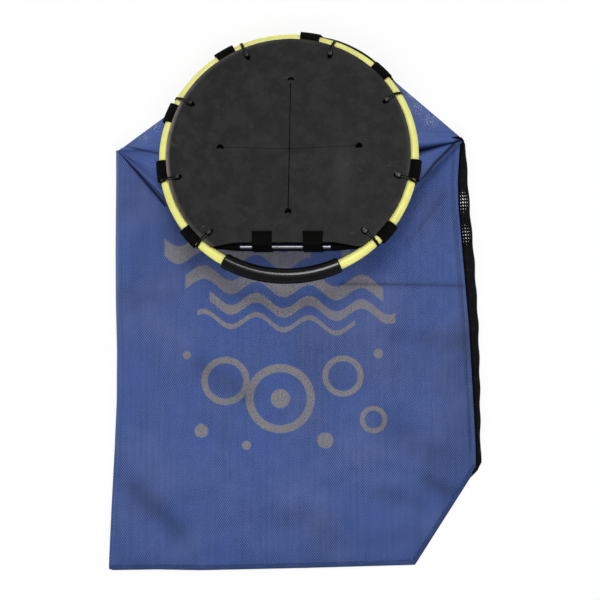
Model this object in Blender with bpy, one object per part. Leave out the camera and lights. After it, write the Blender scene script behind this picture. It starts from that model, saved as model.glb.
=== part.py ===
"""Dive catch bag with a hoop mouth, lying flat and face up, in metres with +Z up.

The bag is a tube of coated mesh cloth, closed by a hem at the bottom and stiffened at the mouth by a
steel hoop in a plastic hose. Two narrow pieces close its sides: a turned cloth edge on the left and a
strip of open net on the right. The hoop lies over the bag's upper half and leans on the gathered neck,
low at its far rim and high at the hand grip. A straight rod crosses the hoop beside the grip, so that a
hand passes between the two. A rubber sheet cut by a cross closes the rest of the hoop as an entry: its
four leaves bend down into the bag and come back by themselves.

Plan: X runs across the bag and Y along it, from the bottom hem to the hoop's far rim. The pieces are laid
out from the bottom hem, and one empty then puts the middle of the whole on the origin.
"""
import math

import bmesh
import bpy
from mathutils import Matrix, Vector

# Hoop frame
HOOP_RADIUS = 0.1526           # middle of the tube
HOSE_DIAMETER = 0.012
CORE_DIAMETER = 0.006
ROD_DIAMETER = 0.005
HAND_GAP = 0.0365              # from the rod's middle to the middle of the tube at the grip
GRIP_DIAMETER = 0.0176
GRIP_MIDDLE = -92.3            # degrees round the hoop, from +X
GRIP_LENGTH = 0.1443
HOOP_TILT = 16.06              # degrees, the grip end is the high one
HOOP_TURN = 13.7               # the highest point lies this far round from -Y, towards +X
HOOP_SPIN = -0.5               # the rod against the bag's X
RIM_RISE = 0.0029              # the mouth's cloth edge at its lowest, above the neck's foot

# Entry sheet
RUBBER_INSET = 0.0019          # its round edge lies this far inside the middle of the tube
RUBBER_THICKNESS = 0.003
RUBBER_CHORD_SETBACK = 0.0004  # its straight edge lies this far inside the rod's middle
CROSS_ASIDE = 0.0017           # the middle of the cross, off the hoop's middle
CROSS_OFFSET = 0.0117
SLIT_HALF = 0.0845             # from the middle of the cross to a stop hole
STOP_HOLE_DIAMETER = 0.0085
SLIT_GAP = 0.0006
LEAF_HINGE_GAP = 0.0002

# Cable ties
TIE_HOLE_INSET = 0.0184        # where a tie goes through the sheet, inside the middle of the tube
TIE_HOLE_SLACK = 0.0009        # round the strap in its hole
TIE_WIDTH = 0.0036
TIE_THICKNESS = 0.0012
TIE_HEAD_WIDTH = 0.0062
TIE_HEAD_HEIGHT = 0.0042
TIE_HEAD_LENGTH = 0.0062
# each tie lies beside a webbing tab: the tab's number, the side of it that the tie is on (1 is
# anticlockwise), and the gaps along the hoop from the tab's edge to the strap, at the hose and the hole
TIE_PLACES = [(8, -1, 0.0086, 0.0094), (1, -1, 0.0168, 0.0192), (2, -1, 0.0227, 0.0251),
              (3, -1, 0.0008, 0.0001), (4, -1, 0.0048, 0.0064), (5, 1, 0.0006, 0.0016),
              (6, 1, 0.0006, 0.0011), (7, -1, 0.0059, 0.0067)]

# Webbing
WEBBING_WIDTH = 0.024
WEBBING_THICKNESS = 0.0013
# the tabs' middles, as shares of the mouth's arc from the rod's right end round to its left end
TAB_SHARES = [0.4678, 0.3345, 0.1514, 0.0374, 0.9716, 0.8483, 0.7487, 0.6118]
CHORD_TAB_PLACES = [-0.0292, 0.0320]
CHORD_TAB_REACH = 0.0178       # how far it lies over the sheet
TAB_LEAN = 45.0                # the tabs' legs and the binding lean out at the far rim, most at
TAB_LEAN_MIDDLE = 65.0         # this angle round the hoop
BINDING_WIDTH = 0.0095
BINDING_THICKNESS = 0.0014
BINDING_GAP = 0.0026           # from the hose down to its upper edge

# Bag
WIDTH_AT_SHOULDER = 0.433
WIDTH_AT_HEM = 0.464
SHOULDER_SHIFT = -0.0075       # the middle of the shoulders, off the middle of the hem
LENGTH_LEFT = 0.5215           # hem to left shoulder
SHOULDER_RISE = 0.013          # the right shoulder is this much further from the hem
HEM_RISE = 0.006               # the hem's right end is this much higher
CORNER_ACROSS = 0.085          # the slanted corner, across and along
CORNER_ALONG = 0.131
BAG_DEPTH = 0.0165
PANEL_THICKNESS = 0.0015
CLOTH_THICKNESS = 0.0012
LEFT_EDGE_WIDTH = 0.007
NET_WIDTH_TOP = 0.006
NET_WIDTH = 0.010
HEM_WIDTH = 0.008

# Neck
HOOP_MIDDLE_ASIDE = -0.0095    # the hoop's middle off the middle of the hem
HOOP_MIDDLE_BELOW_SHOULDER = 0.0101
FOOT_INSET = 0.001             # the neck meets the back this far inside the mouth's edge
FOOT_ANGLE_LEFT = 147.0        # where the foot leaves the hoop's line for the shoulder, in degrees
FOOT_ANGLE_RIGHT = 47.0
SHOULDER_SHARE_LEFT = 0.268    # the shoulders' places on the mouth's edge, as shares of it from the
SHOULDER_SHARE_RIGHT = 0.276   # rod's middle
SHOULDER_DROP = 0.022          # the share over which the foot sinks from the front to the back
SAG_FRONT = 3.5                # how steeply the neck drops from the rod
SAG_BACK = 1.1
NECK_SPLITS = [-0.17, 0.17, 0.36, 0.64, 0.83]   # shares of the mouth's edge, from the rod's middle

# Clearances
FIT = 0.0003
PATCH_GAP = 0.0008

# Facets
RING_STEPS = 72
CORE_SIDES = 8
HOSE_SIDES = 12
GRIP_STEPS = 16
GRIP_SIDES = 14
HOLE_SIDES = 12
LEAF_TIP_STEPS = 4
TIE_STEPS = 9
TAB_STEPS = 5
TAB_SIDES = 12
BINDING_STEPS = 60
SIDE_STEPS = 8
BACK_STEPS = 24
# each neck piece's columns along the mouth and rows down to the foot: front, left, back, right
NECK_STEPS = [(18, 8), (16, 8), (14, 3), (16, 8)]

TILT = math.radians(HOOP_TILT)
TURN = math.radians(HOOP_TURN)
SPIN = math.radians(HOOP_SPIN)
HOSE_RADIUS = HOSE_DIAMETER / 2
CORE_RADIUS = CORE_DIAMETER / 2
ROD_RADIUS = ROD_DIAMETER / 2
ROD_OFFSET = HOOP_RADIUS - HAND_GAP
GRIP_SPAN = math.degrees(GRIP_LENGTH / HOOP_RADIUS)
RUBBER_RADIUS = HOOP_RADIUS - RUBBER_INSET
TIE_HOLE_RADIUS = HOOP_RADIUS - TIE_HOLE_INSET
TIE_HOLE_DIAMETER = math.hypot(TIE_WIDTH, TIE_THICKNESS) + 2 * TIE_HOLE_SLACK
HALF_CHORD = math.sqrt(HOOP_RADIUS ** 2 - ROD_OFFSET ** 2)
CHORD_ANGLE = math.degrees(math.asin(ROD_OFFSET / HOOP_RADIUS))
MOUTH_ARC = math.radians(180 + 2 * CHORD_ANGLE) * HOOP_RADIUS
MOUTH_EDGE = 2 * HALF_CHORD + MOUTH_ARC
TAB_ANGLES = [-CHORD_ANGLE + share * (180 + 2 * CHORD_ANGLE) for share in TAB_SHARES]
TAB_HALF_ANGLE = math.degrees(WEBBING_WIDTH / 2 / HOOP_RADIUS)
TAB_RING_RADIUS = HOSE_RADIUS + FIT + WEBBING_THICKNESS / 2
TAB_OUTER_RADIUS = TAB_RING_RADIUS + WEBBING_THICKNESS / 2
# the sheet's lower face rests on the tabs round the hose
RUBBER_BOTTOM = math.sqrt((TAB_OUTER_RADIUS + FIT) ** 2 - RUBBER_INSET ** 2)
RUBBER_TOP = RUBBER_BOTTOM + RUBBER_THICKNESS
BINDING_DROP = HOSE_RADIUS + BINDING_GAP
BINDING_BOTTOM = -(BINDING_DROP + BINDING_WIDTH)
TAB_LEG = BINDING_THICKNESS / 2 + FIT + WEBBING_THICKNESS / 2
NECK_TOP = BINDING_BOTTOM - FIT - CLOTH_THICKNESS / 4

LENGTH_RIGHT = LENGTH_LEFT + SHOULDER_RISE
SHOULDER_LEFT = Vector((SHOULDER_SHIFT - WIDTH_AT_SHOULDER / 2, LENGTH_LEFT, 0))
SHOULDER_RIGHT = Vector((SHOULDER_SHIFT + WIDTH_AT_SHOULDER / 2, LENGTH_RIGHT, 0))
HEM_LEFT = Vector((-WIDTH_AT_HEM / 2, 0, 0))
HEM_RIGHT = Vector((WIDTH_AT_HEM / 2 - CORNER_ACROSS, HEM_RISE, 0))
CORNER_RIGHT = Vector((WIDTH_AT_HEM / 2, HEM_RISE + CORNER_ALONG, 0))
PIVOT_TURN = Matrix.Rotation(TURN, 3, "Z") @ Matrix.Rotation(-TILT, 3, "X")
HOOP_ROTATION = PIVOT_TURN @ Matrix.Rotation(SPIN - TURN, 3, "Z")
FOLD_HEIGHT = BAG_DEPTH + FIT + CLOTH_THICKNESS / 2
FOOT_HEIGHT = PANEL_THICKNESS + FIT + CLOTH_THICKNESS / 2


def hoop_point(radius, angle, height):
    """A point in the hoop's own frame, by its angle round the hoop in degrees."""
    a = math.radians(angle)
    return Vector((radius * math.cos(a), radius * math.sin(a), height))


def leaned(angle, aside, up):
    """A point beside the hose, in a section that leans out about the hose's middle at the far rim."""
    near_middle = max(0.0, math.cos(math.radians(angle - TAB_LEAN_MIDDLE)))
    lean = math.radians(TAB_LEAN) * near_middle ** 3
    return hoop_point(HOOP_RADIUS + aside * math.cos(lean) - up * math.sin(lean), angle,
                      aside * math.sin(lean) + up * math.cos(lean))


# the hoop leans on the neck: the mouth's cloth edge, at its lowest, is RIM_RISE above the neck's foot
RIM_LOW = min((HOOP_ROTATION @ leaned(angle, 0.0, NECK_TOP)).z for angle in range(360))
HOOP_MIDDLE = Vector((HOOP_MIDDLE_ASIDE, LENGTH_LEFT - HOOP_MIDDLE_BELOW_SHOULDER,
                      FOOT_HEIGHT + RIM_RISE - RIM_LOW))
PIVOT = HOOP_MIDDLE + PIVOT_TURN @ Vector((0, HOOP_RADIUS, 0))


def clear_scene():
    """Empty the file."""
    for old in list(bpy.data.objects):
        bpy.data.objects.remove(old, do_unlink=True)


def material(name, colour, roughness, metallic=0.0):
    """A plain Principled material, made once for each name."""
    made = bpy.data.materials.get(name)
    if made is None:
        made = bpy.data.materials.new(name)
        made.use_nodes = True
        shader = made.node_tree.nodes["Principled BSDF"]
        shader.inputs["Base Color"].default_value = (*colour, 1.0)
        shader.inputs["Roughness"].default_value = roughness
        shader.inputs["Metallic"].default_value = metallic
    return made


def blue_cloth():
    return material("blue_coated_mesh", (0.060, 0.105, 0.290), 0.6)


def black_net():
    return material("black_net", (0.012, 0.012, 0.014), 0.7)


def black_webbing():
    return material("black_webbing", (0.010, 0.010, 0.011), 0.8)


def black_rubber():
    return material("dark_rubber", (0.030, 0.030, 0.031), 0.65)


def steel():
    return material("stainless_steel", (0.62, 0.62, 0.64), 0.25, 1.0)


def empty(name, location, parent=None, rotation=(0.0, 0.0, 0.0)):
    """A named empty that places what hangs from it."""
    made = bpy.data.objects.new(name, None)
    made.location = location
    made.rotation_euler = rotation
    made.parent = parent
    bpy.context.scene.collection.objects.link(made)
    return made


def put(name, data, parent, finish, location=(0.0, 0.0, 0.0), rotation=(0.0, 0.0, 0.0)):
    """Make a named object from mesh or curve data under its parent."""
    made = bpy.data.objects.new(name, data)
    made.location = location
    made.rotation_euler = rotation
    made.parent = parent
    if not data.materials:
        data.materials.append(finish)
    bpy.context.scene.collection.objects.link(made)
    return made


def smooth(mesh, degrees=35.0):
    mesh.shade_smooth()
    mesh.set_sharp_from_angle(angle=math.radians(degrees))


def grid_mesh(name, rows, close_rows=False, close_columns=False, caps=False):
    """Faces between rows of points. A row can close on itself, and so can the set of rows."""
    sheet = bmesh.new()
    verts = [[sheet.verts.new(point) for point in row] for row in rows]
    row_count = len(rows)
    column_count = len(rows[0])
    for i in range(row_count if close_rows else row_count - 1):
        for j in range(column_count if close_columns else column_count - 1):
            this_row, next_row = verts[i], verts[(i + 1) % row_count]
            k = (j + 1) % column_count
            sheet.faces.new((this_row[j], this_row[k], next_row[k], next_row[j]))
    if caps:
        sheet.faces.new(verts[0])
        sheet.faces.new(verts[-1])
    bmesh.ops.recalc_face_normals(sheet, faces=sheet.faces)
    mesh = bpy.data.meshes.new(name)
    sheet.to_mesh(mesh)
    sheet.free()
    smooth(mesh)
    return mesh


def give_thickness(made, thickness, offset=0.0, even=True):
    """Turn a sheet into a closed wall. Offset -1 goes under the faces, 0 to both sides."""
    wall = made.modifiers.new("wall", "SOLIDIFY")
    wall.thickness = thickness
    wall.offset = offset
    wall.use_even_offset = even
    wall.use_rim = True
    return wall


def plate(name, outlines, bottom, thickness, parent, finish):
    """A flat plate: the first outline is its edge, the others are holes."""
    flat = bpy.data.curves.new(name, "CURVE")
    flat.dimensions = "2D"
    flat.fill_mode = "BOTH"
    flat.extrude = thickness / 2
    for outline in outlines:
        line = flat.splines.new("POLY")
        line.points.add(len(outline) - 1)
        for point, (x, y) in zip(line.points, outline):
            point.co = (x, y, 0.0, 1.0)
        line.use_cyclic_u = True
    return put(name, flat, parent, finish, (0.0, 0.0, bottom + thickness / 2))


def arc(middle, radius, start, end, steps):
    """Points of an arc in plan, both ends included, angles in degrees."""
    angles = [math.radians(start + (end - start) * i / steps) for i in range(steps + 1)]
    return [(middle[0] + radius * math.cos(a), middle[1] + radius * math.sin(a)) for a in angles]


def tube_rows(radius, start, end, steps, sides, closed=False):
    """Rings of points round the hoop's middle line, from one angle to another."""
    rows = []
    for i in range(steps if closed else steps + 1):
        angle = start + (end - start) * i / steps
        row = []
        for j in range(sides):
            turn = 2 * math.pi * j / sides
            row.append(hoop_point(HOOP_RADIUS + radius * math.cos(turn), angle, radius * math.sin(turn)))
        rows.append(row)
    return rows


def mouth_point(share, height):
    """A point on the mouth's edge in the hoop's frame, at a height in its leaning section.

    The edge is the rod's straight line and the arc beyond it. The share runs from the rod's middle to
    the left and round, 0 to 1, by length.
    """
    along = (share % 1.0) * MOUTH_EDGE
    if along <= HALF_CHORD:
        return Vector((-along, -ROD_OFFSET, height))
    if along >= MOUTH_EDGE - HALF_CHORD:
        return Vector((MOUTH_EDGE - along, -ROD_OFFSET, height))
    turned = math.degrees((along - HALF_CHORD) / HOOP_RADIUS)
    return leaned(180 + CHORD_ANGLE - turned, 0.0, height)


def hoop_to_bag(point):
    """From the hoop's frame to the bag's plan, with the hoop at rest."""
    return HOOP_MIDDLE + HOOP_ROTATION @ point


def far_edge():
    """How far the webbing tabs reach at the far rim."""
    section = [Vector((TAB_OUTER_RADIUS, 0.0)), Vector((TAB_LEG + WEBBING_THICKNESS / 2, BINDING_BOTTOM))]
    return max(hoop_to_bag(leaned(angle + end, place.x, place.y)).y
               for angle in TAB_ANGLES for end in (-TAB_HALF_ANGLE, TAB_HALF_ANGLE)
               for place in section)


def foot_on_hoop_line(angle):
    """Where the neck meets the back, below the mouth's edge."""
    foot = hoop_to_bag(leaned(angle, -FOOT_INSET, NECK_TOP))
    foot.z = FOOT_HEIGHT
    return foot


def back_foot(share, shoulder, angle):
    """The neck's foot on the back: straight from a shoulder to the hoop's line, then along that line.

    The share is 0 at the shoulder and 1 at the far rim, by length.
    """
    turn = abs(angle - 90)
    corner = foot_on_hoop_line(angle)
    start = Vector((shoulder.x, shoulder.y, FOOT_HEIGHT))
    straight = (corner - start).length
    whole = straight + HOOP_RADIUS * math.radians(turn)
    along = share * whole
    if along <= straight:
        return start.lerp(corner, along / straight)
    done = (along - straight) / (whole - straight)
    return foot_on_hoop_line(angle + (90 - angle) * done)


def side_foot(share, turn, shoulder, angle):
    """The foot of one half of the neck, from the fold's middle (0) by the shoulder to the far rim (1/2).

    The fold lies on the front panel. Beyond the shoulder the foot sinks to the back in a smooth step.
    """
    if share < turn:
        middle = Vector((SHOULDER_SHIFT, (SHOULDER_LEFT.y + SHOULDER_RIGHT.y) / 2, FOLD_HEIGHT))
        return middle.lerp(Vector((shoulder.x, shoulder.y, FOLD_HEIGHT)), share / turn)
    foot = back_foot((share - turn) / (0.5 - turn), shoulder, angle)
    sunk = min((share - turn) / SHOULDER_DROP, 1.0)
    foot.z += (FOLD_HEIGHT - FOOT_HEIGHT) * (1 - sunk * sunk * (3 - 2 * sunk))
    return foot


def neck_foot(share):
    """The neck's foot for a share of the mouth's edge."""
    share = share % 1.0
    if share <= 0.5:
        return side_foot(share, SHOULDER_SHARE_LEFT, SHOULDER_LEFT, FOOT_ANGLE_LEFT)
    return side_foot(1 - share, SHOULDER_SHARE_RIGHT, SHOULDER_RIGHT, FOOT_ANGLE_RIGHT)


def neck_point(share, down):
    """The neck's cloth, from the mouth (down 0) to its foot (down 1).

    In plan it is a straight line between the two. Its height falls with a power of the way left, high
    by the rod, where the slack cloth drops at once, and near 1 at the far rim.
    """
    top = hoop_to_bag(mouth_point(share, NECK_TOP))
    foot = neck_foot(share)
    sag = SAG_BACK + (SAG_FRONT - SAG_BACK) * math.cos(math.pi * share) ** 4
    point = top.lerp(foot, down)
    point.z = foot.z + (top.z - foot.z) * (1 - down) ** sag
    return point


def make_hoop_frame(hoop):
    """The steel ring, its hose, the straight rod welded across it and the hand grip."""
    rows = tube_rows(CORE_RADIUS, GRIP_MIDDLE, GRIP_MIDDLE + 360, RING_STEPS, CORE_SIDES, closed=True)
    put("hoop_core", grid_mesh("hoop_core", rows, True, True), hoop, steel())

    # the hose is slit where the grip hides it
    slit = math.degrees(2 * FIT / HOOP_RADIUS)
    rows = tube_rows(HOSE_RADIUS, GRIP_MIDDLE + slit, GRIP_MIDDLE + 360 - slit, RING_STEPS, HOSE_SIDES)
    hose = put("hoop_hose", grid_mesh("hoop_hose", rows, close_columns=True), hoop,
               material("yellow_hose", (0.80, 0.83, 0.18), 0.35))
    give_thickness(hose, HOSE_RADIUS - CORE_RADIUS - FIT, -1.0)

    grip_bore = HOSE_RADIUS + FIT
    rows = tube_rows(GRIP_DIAMETER / 2, GRIP_MIDDLE - GRIP_SPAN / 2, GRIP_MIDDLE + GRIP_SPAN / 2,
                     GRIP_STEPS, GRIP_SIDES)
    grip = put("grip_sleeve", grid_mesh("grip_sleeve", rows, close_columns=True), hoop,
               material("glossy_black_hose", (0.010, 0.010, 0.011), 0.18))
    give_thickness(grip, GRIP_DIAMETER / 2 - grip_bore, -1.0)

    # the rod stops at the core, which it is welded to, and goes through a hole in the hose
    reach = math.sqrt((HOOP_RADIUS - CORE_RADIUS - FIT) ** 2 - (ROD_OFFSET + ROD_RADIUS) ** 2)
    rod_rows = []
    for x in (-reach, reach):
        rod_rows.append([(x, -ROD_OFFSET + ROD_RADIUS * math.cos(2 * math.pi * j / HOSE_SIDES),
                          ROD_RADIUS * math.sin(2 * math.pi * j / HOSE_SIDES)) for j in range(HOSE_SIDES)])
    put("chord_rod", grid_mesh("chord_rod", rod_rows, close_columns=True, caps=True), hoop, steel())
    wider = 1 + 2 * FIT / ROD_RADIUS
    drill_rows = [[(x / reach * HALF_CHORD, -ROD_OFFSET + (y + ROD_OFFSET) * wider, z * wider)
                   for x, y, z in row] for row in rod_rows]
    drill_mesh = grid_mesh("rod_hole", drill_rows, close_columns=True, caps=True)
    drill = put("rod_hole", drill_mesh, hoop, steel())
    drill.hide_render = True
    drill.display_type = "WIRE"
    hole = hose.modifiers.new("rod_hole", "BOOLEAN")
    hole.object = drill
    hole.solver = "EXACT"


def rubber_edge():
    """The entry sheet's edge: an arc and the straight edge over the rod."""
    end = math.degrees(math.asin((ROD_OFFSET - RUBBER_CHORD_SETBACK) / RUBBER_RADIUS))
    return arc((0.0, 0.0), RUBBER_RADIUS, -end, 180 + end, RING_STEPS)


def leaf_window():
    """The opening that the four leaves fill: four hinge lines between four stop holes."""
    stop = STOP_HOLE_DIAMETER / 2
    shift = math.degrees(math.asin(LEAF_HINGE_GAP / stop))
    outline = []
    for k in range(4):
        a = math.radians(90 * k)
        middle = (CROSS_ASIDE + SLIT_HALF * math.cos(a), CROSS_OFFSET + SLIT_HALF * math.sin(a))
        outline += arc(middle, stop, 90 * k - 135 + shift, 90 * k + 135 - shift, HOLE_SIDES)
    return outline


def leaf_mesh():
    """One leaf with its hinge along X and its point towards +Y, its middle plane at the hinge.

    The edge at the hinge is a wedge, so that the leaf can bend both ways between its neighbours.
    """
    stop = STOP_HOLE_DIAMETER / 2
    height = SLIT_HALF / math.sqrt(2)
    half_gap = SLIT_GAP / 2
    slit_turn = 135 + math.degrees(math.asin(half_gap / stop))
    hinge_turn = 180 - math.degrees(math.asin(LEAF_HINGE_GAP / stop))
    right = arc((height, 0.0), stop, hinge_turn, slit_turn, LEAF_TIP_STEPS)
    left = [(-x, y) for x, y in reversed(right)]
    outline = right + [(0.0, height - half_gap * math.sqrt(2))] + left
    leaf = bmesh.new()
    base = leaf.faces.new([leaf.verts.new((x, y, -RUBBER_THICKNESS / 2)) for x, y in outline])
    raised = bmesh.ops.extrude_face_region(leaf, geom=[base])
    bmesh.ops.translate(leaf, vec=(0, 0, RUBBER_THICKNESS),
                        verts=[g for g in raised["geom"] if isinstance(g, bmesh.types.BMVert)])
    for side in (1, -1):
        everything = leaf.verts[:] + leaf.edges[:] + leaf.faces[:]
        cut = bmesh.ops.bisect_plane(leaf, geom=everything, plane_co=(0, LEAF_HINGE_GAP, 0),
                                     plane_no=(0, -1, side), clear_outer=True)
        bmesh.ops.contextual_create(
            leaf, geom=[g for g in cut["geom_cut"] if isinstance(g, bmesh.types.BMEdge)])
    bmesh.ops.remove_doubles(leaf, verts=leaf.verts, dist=1e-6)
    bmesh.ops.recalc_face_normals(leaf, faces=leaf.faces)
    mesh = bpy.data.meshes.new("entry_leaf")
    leaf.to_mesh(mesh)
    leaf.free()
    return mesh


def make_entry(hoop):
    """The rubber sheet over the hoop and its four leaves, each hinged on its own line."""
    holes = []
    for hole_angle, _ in tie_angles():
        middle = hoop_point(TIE_HOLE_RADIUS, hole_angle, 0)
        holes.append(arc(middle.xy, TIE_HOLE_DIAMETER / 2, 0, 360, HOLE_SIDES)[:-1])
    plate("entry_rubber", [rubber_edge(), leaf_window()] + holes, RUBBER_BOTTOM, RUBBER_THICKNESS,
          hoop, black_rubber())
    mesh = leaf_mesh()
    for name, direction in (("entry_leaf_far_right", 45), ("entry_leaf_far_left", 135),
                            ("entry_leaf_near_left", 225), ("entry_leaf_near_right", 315)):
        a = math.radians(direction)
        reach = SLIT_HALF / math.sqrt(2)
        hinge = empty(name + "_hinge", (CROSS_ASIDE + reach * math.cos(a),
                                        CROSS_OFFSET + reach * math.sin(a),
                                        RUBBER_BOTTOM + RUBBER_THICKNESS / 2),
                      hoop, (0.0, 0.0, a + math.pi / 2))
        put(name, mesh, hinge, black_rubber())


def tie_angles():
    """The angles round the hoop at which each tie has its hole and lies round the hose."""
    angles = []
    for tab, side, hose_gap, hole_gap in TIE_PLACES:
        edge = TAB_ANGLES[tab - 1] + side * TAB_HALF_ANGLE
        angles.append([edge + side * math.degrees((gap + TIE_WIDTH / 2) / HOOP_RADIUS)
                       for gap in (hole_gap, hose_gap)])
    return angles


def tie_path():
    """The strap's middle line in its own plane, from the middle of the hose: reach out and height.

    It goes out over the sheet, round the hose, back under it and up through the hole. The first two
    runs hold the head.
    """
    half = TIE_THICKNESS / 2
    top = RUBBER_TOP + FIT + half
    hole = TIE_HOLE_RADIUS - HOOP_RADIUS
    ring = HOSE_RADIUS + FIT + half
    corner = TIE_THICKNESS
    over_edge = (RUBBER_RADIUS - HOOP_RADIUS + corner, top)
    below_hole = (hole, RUBBER_BOTTOM - corner)
    # the strap touches the hose between the two tangents
    start = math.atan2(over_edge[1], over_edge[0]) - math.acos(ring / math.hypot(*over_edge))
    end = math.atan2(below_hole[1], below_hole[0]) + math.acos(ring / math.hypot(*below_hole))
    path = [(hole + corner, top), (hole + corner + TIE_HEAD_LENGTH, top), over_edge]
    path += arc((0.0, 0.0), ring, math.degrees(start), math.degrees(end) - 360, TIE_STEPS)
    return path + [below_hole, (hole, top - corner)]


def make_tie(number, hole_angle, hose_angle, hoop):
    """One cable tie as a closed strap that swells into its head over the sheet.

    It lies square round the hose and slants from there to its hole, which can sit further round.
    """
    path = tie_path()
    count = len(path)
    square_reach = RUBBER_RADIUS - HOOP_RADIUS
    hole_reach = TIE_HOLE_RADIUS - HOOP_RADIUS

    def place_at(reach, height):
        slant = min(max((square_reach - reach) / (square_reach - hole_reach), 0.0), 1.0)
        return hoop_point(HOOP_RADIUS + reach, hose_angle + (hole_angle - hose_angle) * slant, height)

    places = [place_at(reach, height) for reach, height in path]
    rows = []
    for i, place in enumerate(places):
        in_head = i < 2
        reach = path[i][0]
        if reach < square_reach:
            out = (place_at(square_reach, 0) - place_at(hole_reach, 0)).normalized()
        else:
            out = hoop_point(1.0, hose_angle, 0)
        across = Vector((-out.y, out.x, 0))
        before, after = path[i - 1], path[(i + 1) % count]
        along = Vector((1.0, 0.0))
        if not in_head:
            along = Vector((after[0] - before[0], after[1] - before[1])).normalized()
        width = TIE_HEAD_WIDTH if in_head else TIE_WIDTH
        outer = TIE_HEAD_HEIGHT if in_head else TIE_THICKNESS / 2
        row = []
        for side, lift in ((-1, -TIE_THICKNESS / 2), (1, -TIE_THICKNESS / 2), (1, outer), (-1, outer)):
            # the side away from the hose is to the left of the way round
            row.append(place + across * (side * width / 2) + out * (-along.y * lift)
                       + Vector((0, 0, along.x * lift)))
        rows.append(row)
        if i == 1:
            # the head ends in a square shoulder
            narrow = [place + out * FIT + (point - place).dot(across) * across * (TIE_WIDTH / width)
                      for point in row]
            for point, side in zip(narrow, (-1, -1, 1, 1)):
                point.z = place.z + side * TIE_THICKNESS / 2
            rows.append(narrow)
    mesh = grid_mesh("cable_tie_%d" % number, rows, True, True)
    put("cable_tie_%d" % number, mesh, hoop, material("black_nylon", (0.012, 0.012, 0.012), 0.35))


def make_tabs(hoop):
    """Webbing loops round the hose, with two legs that hold the binding between them."""
    leg = TAB_LEG
    loop = [(leg, BINDING_BOTTOM + FIT), (leg, -BINDING_DROP - FIT)]
    loop += arc((0.0, 0.0), TAB_RING_RADIUS, -50, 230, TAB_SIDES)
    loop += [(-leg, -BINDING_DROP - FIT), (-leg, BINDING_BOTTOM + FIT)]
    for number, angle in enumerate(TAB_ANGLES, 1):
        rows = []
        for i in range(TAB_STEPS + 1):
            a = angle + TAB_HALF_ANGLE * (2 * i / TAB_STEPS - 1)
            rows.append([leaned(a, aside, up) for aside, up in loop])
        name = "hoop_tab_%d" % number
        tab = put(name, grid_mesh(name, rows), hoop, black_webbing())
        give_thickness(tab, WEBBING_THICKNESS)

    for name, x in zip(("chord_tab_left", "chord_tab_right"), CHORD_TAB_PLACES):
        over = RUBBER_TOP + FIT + WEBBING_THICKNESS / 2
        round_rod = ROD_RADIUS + FIT + WEBBING_THICKNESS / 2
        strip = [(CHORD_TAB_REACH, over), (RUBBER_CHORD_SETBACK - WEBBING_THICKNESS / 2, over),
                 (-round_rod, over * 0.7), (-round_rod, -ROD_RADIUS), (-leg, -BINDING_DROP),
                 (-leg, BINDING_BOTTOM + FIT)]
        rows = [[(x + side * WEBBING_WIDTH / 2, -ROD_OFFSET + y, z) for y, z in strip] for side in (-1, 1)]
        tab = put(name, grid_mesh(name, rows), hoop, black_webbing())
        give_thickness(tab, WEBBING_THICKNESS)


def make_binding(hoop):
    """The tape that binds the mouth's edge, a closed band under the hose and the rod."""
    arc_share = HALF_CHORD / MOUTH_EDGE
    shares = [arc_share * (i - 3) / 3 for i in range(7)]
    shares += [arc_share + (1 - 2 * arc_share) * i / BINDING_STEPS for i in range(1, BINDING_STEPS)]
    rows = [[mouth_point(share, height) for height in (-BINDING_DROP, BINDING_BOTTOM)] for share in shares]
    band = put("mouth_binding", grid_mesh("mouth_binding", rows, close_rows=True), hoop, black_webbing())
    give_thickness(band, BINDING_THICKNESS)


def patch_edge(share, down):
    """Half a patch gap as a share of the mouth's edge, where the cloth runs aslant and spreads too."""
    step = 0.001
    ruling = (neck_point(share, 1) - neck_point(share, 0)).normalized()
    aside = (neck_point(share + step, down) - neck_point(share - step, down)) / (2 * step)
    return PATCH_GAP / 2 / (aside - aside.dot(ruling) * ruling).length


def make_neck(bag):
    """The cloth between the mouth and the shoulders, in four pieces that meet edge to edge."""
    for k, name in enumerate(("neck_front", "neck_left", "neck_back", "neck_right")):
        columns, down_steps = NECK_STEPS[k]
        lines = []
        for j in range(down_steps + 1):
            down = j / down_steps
            start = NECK_SPLITS[k] + patch_edge(NECK_SPLITS[k], down)
            end = NECK_SPLITS[k + 1] - patch_edge(NECK_SPLITS[k + 1], down)
            shares = [start + (end - start) * i / columns for i in range(columns + 1)]
            lines.append([neck_point(share, down) for share in shares])
        patch = put(name, grid_mesh(name, lines), bag, blue_cloth())
        give_thickness(patch, CLOTH_THICKNESS, even=False)


def outward_at(path, i, side):
    """The direction out of the bag at a point of its outline, mitred at a corner."""
    normals = []
    for a, b in ((i - 1, i), (i, i + 1)):
        if a >= 0 and b < len(path):
            along = (path[b] - path[a]).normalized()
            normals.append(Vector((along.y, -along.x, 0)) * side)
    first, last = normals[0], normals[-1]
    return (first + last) / (1 + first.dot(last))


def side_strip(name, path, widths, side, bag, finish, end_out=None):
    """A strip that closes a side of the bag, bent like a C from the back panel to the front one.

    Its section is a half ellipse, its hollow towards the bag. It can end aslant, along the fold.
    """
    rows = []
    for i, place in enumerate(path):
        out = outward_at(path, i, side)
        if end_out and place == path[-1]:
            out = end_out
        wall = PANEL_THICKNESS / 2
        half = BAG_DEPTH / 2 - wall
        row = []
        for j in range(SIDE_STEPS + 1):
            a = math.pi * (j / SIDE_STEPS - 0.5)
            row.append(place + out * ((widths[i] - wall) * (math.cos(a) - 1) - wall)
                       + Vector((0, 0, half + wall + half * math.sin(a))))
        rows.append(row)
    strip = put(name, grid_mesh(name, rows), bag, finish)
    give_thickness(strip, PANEL_THICKNESS, even=False)


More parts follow.
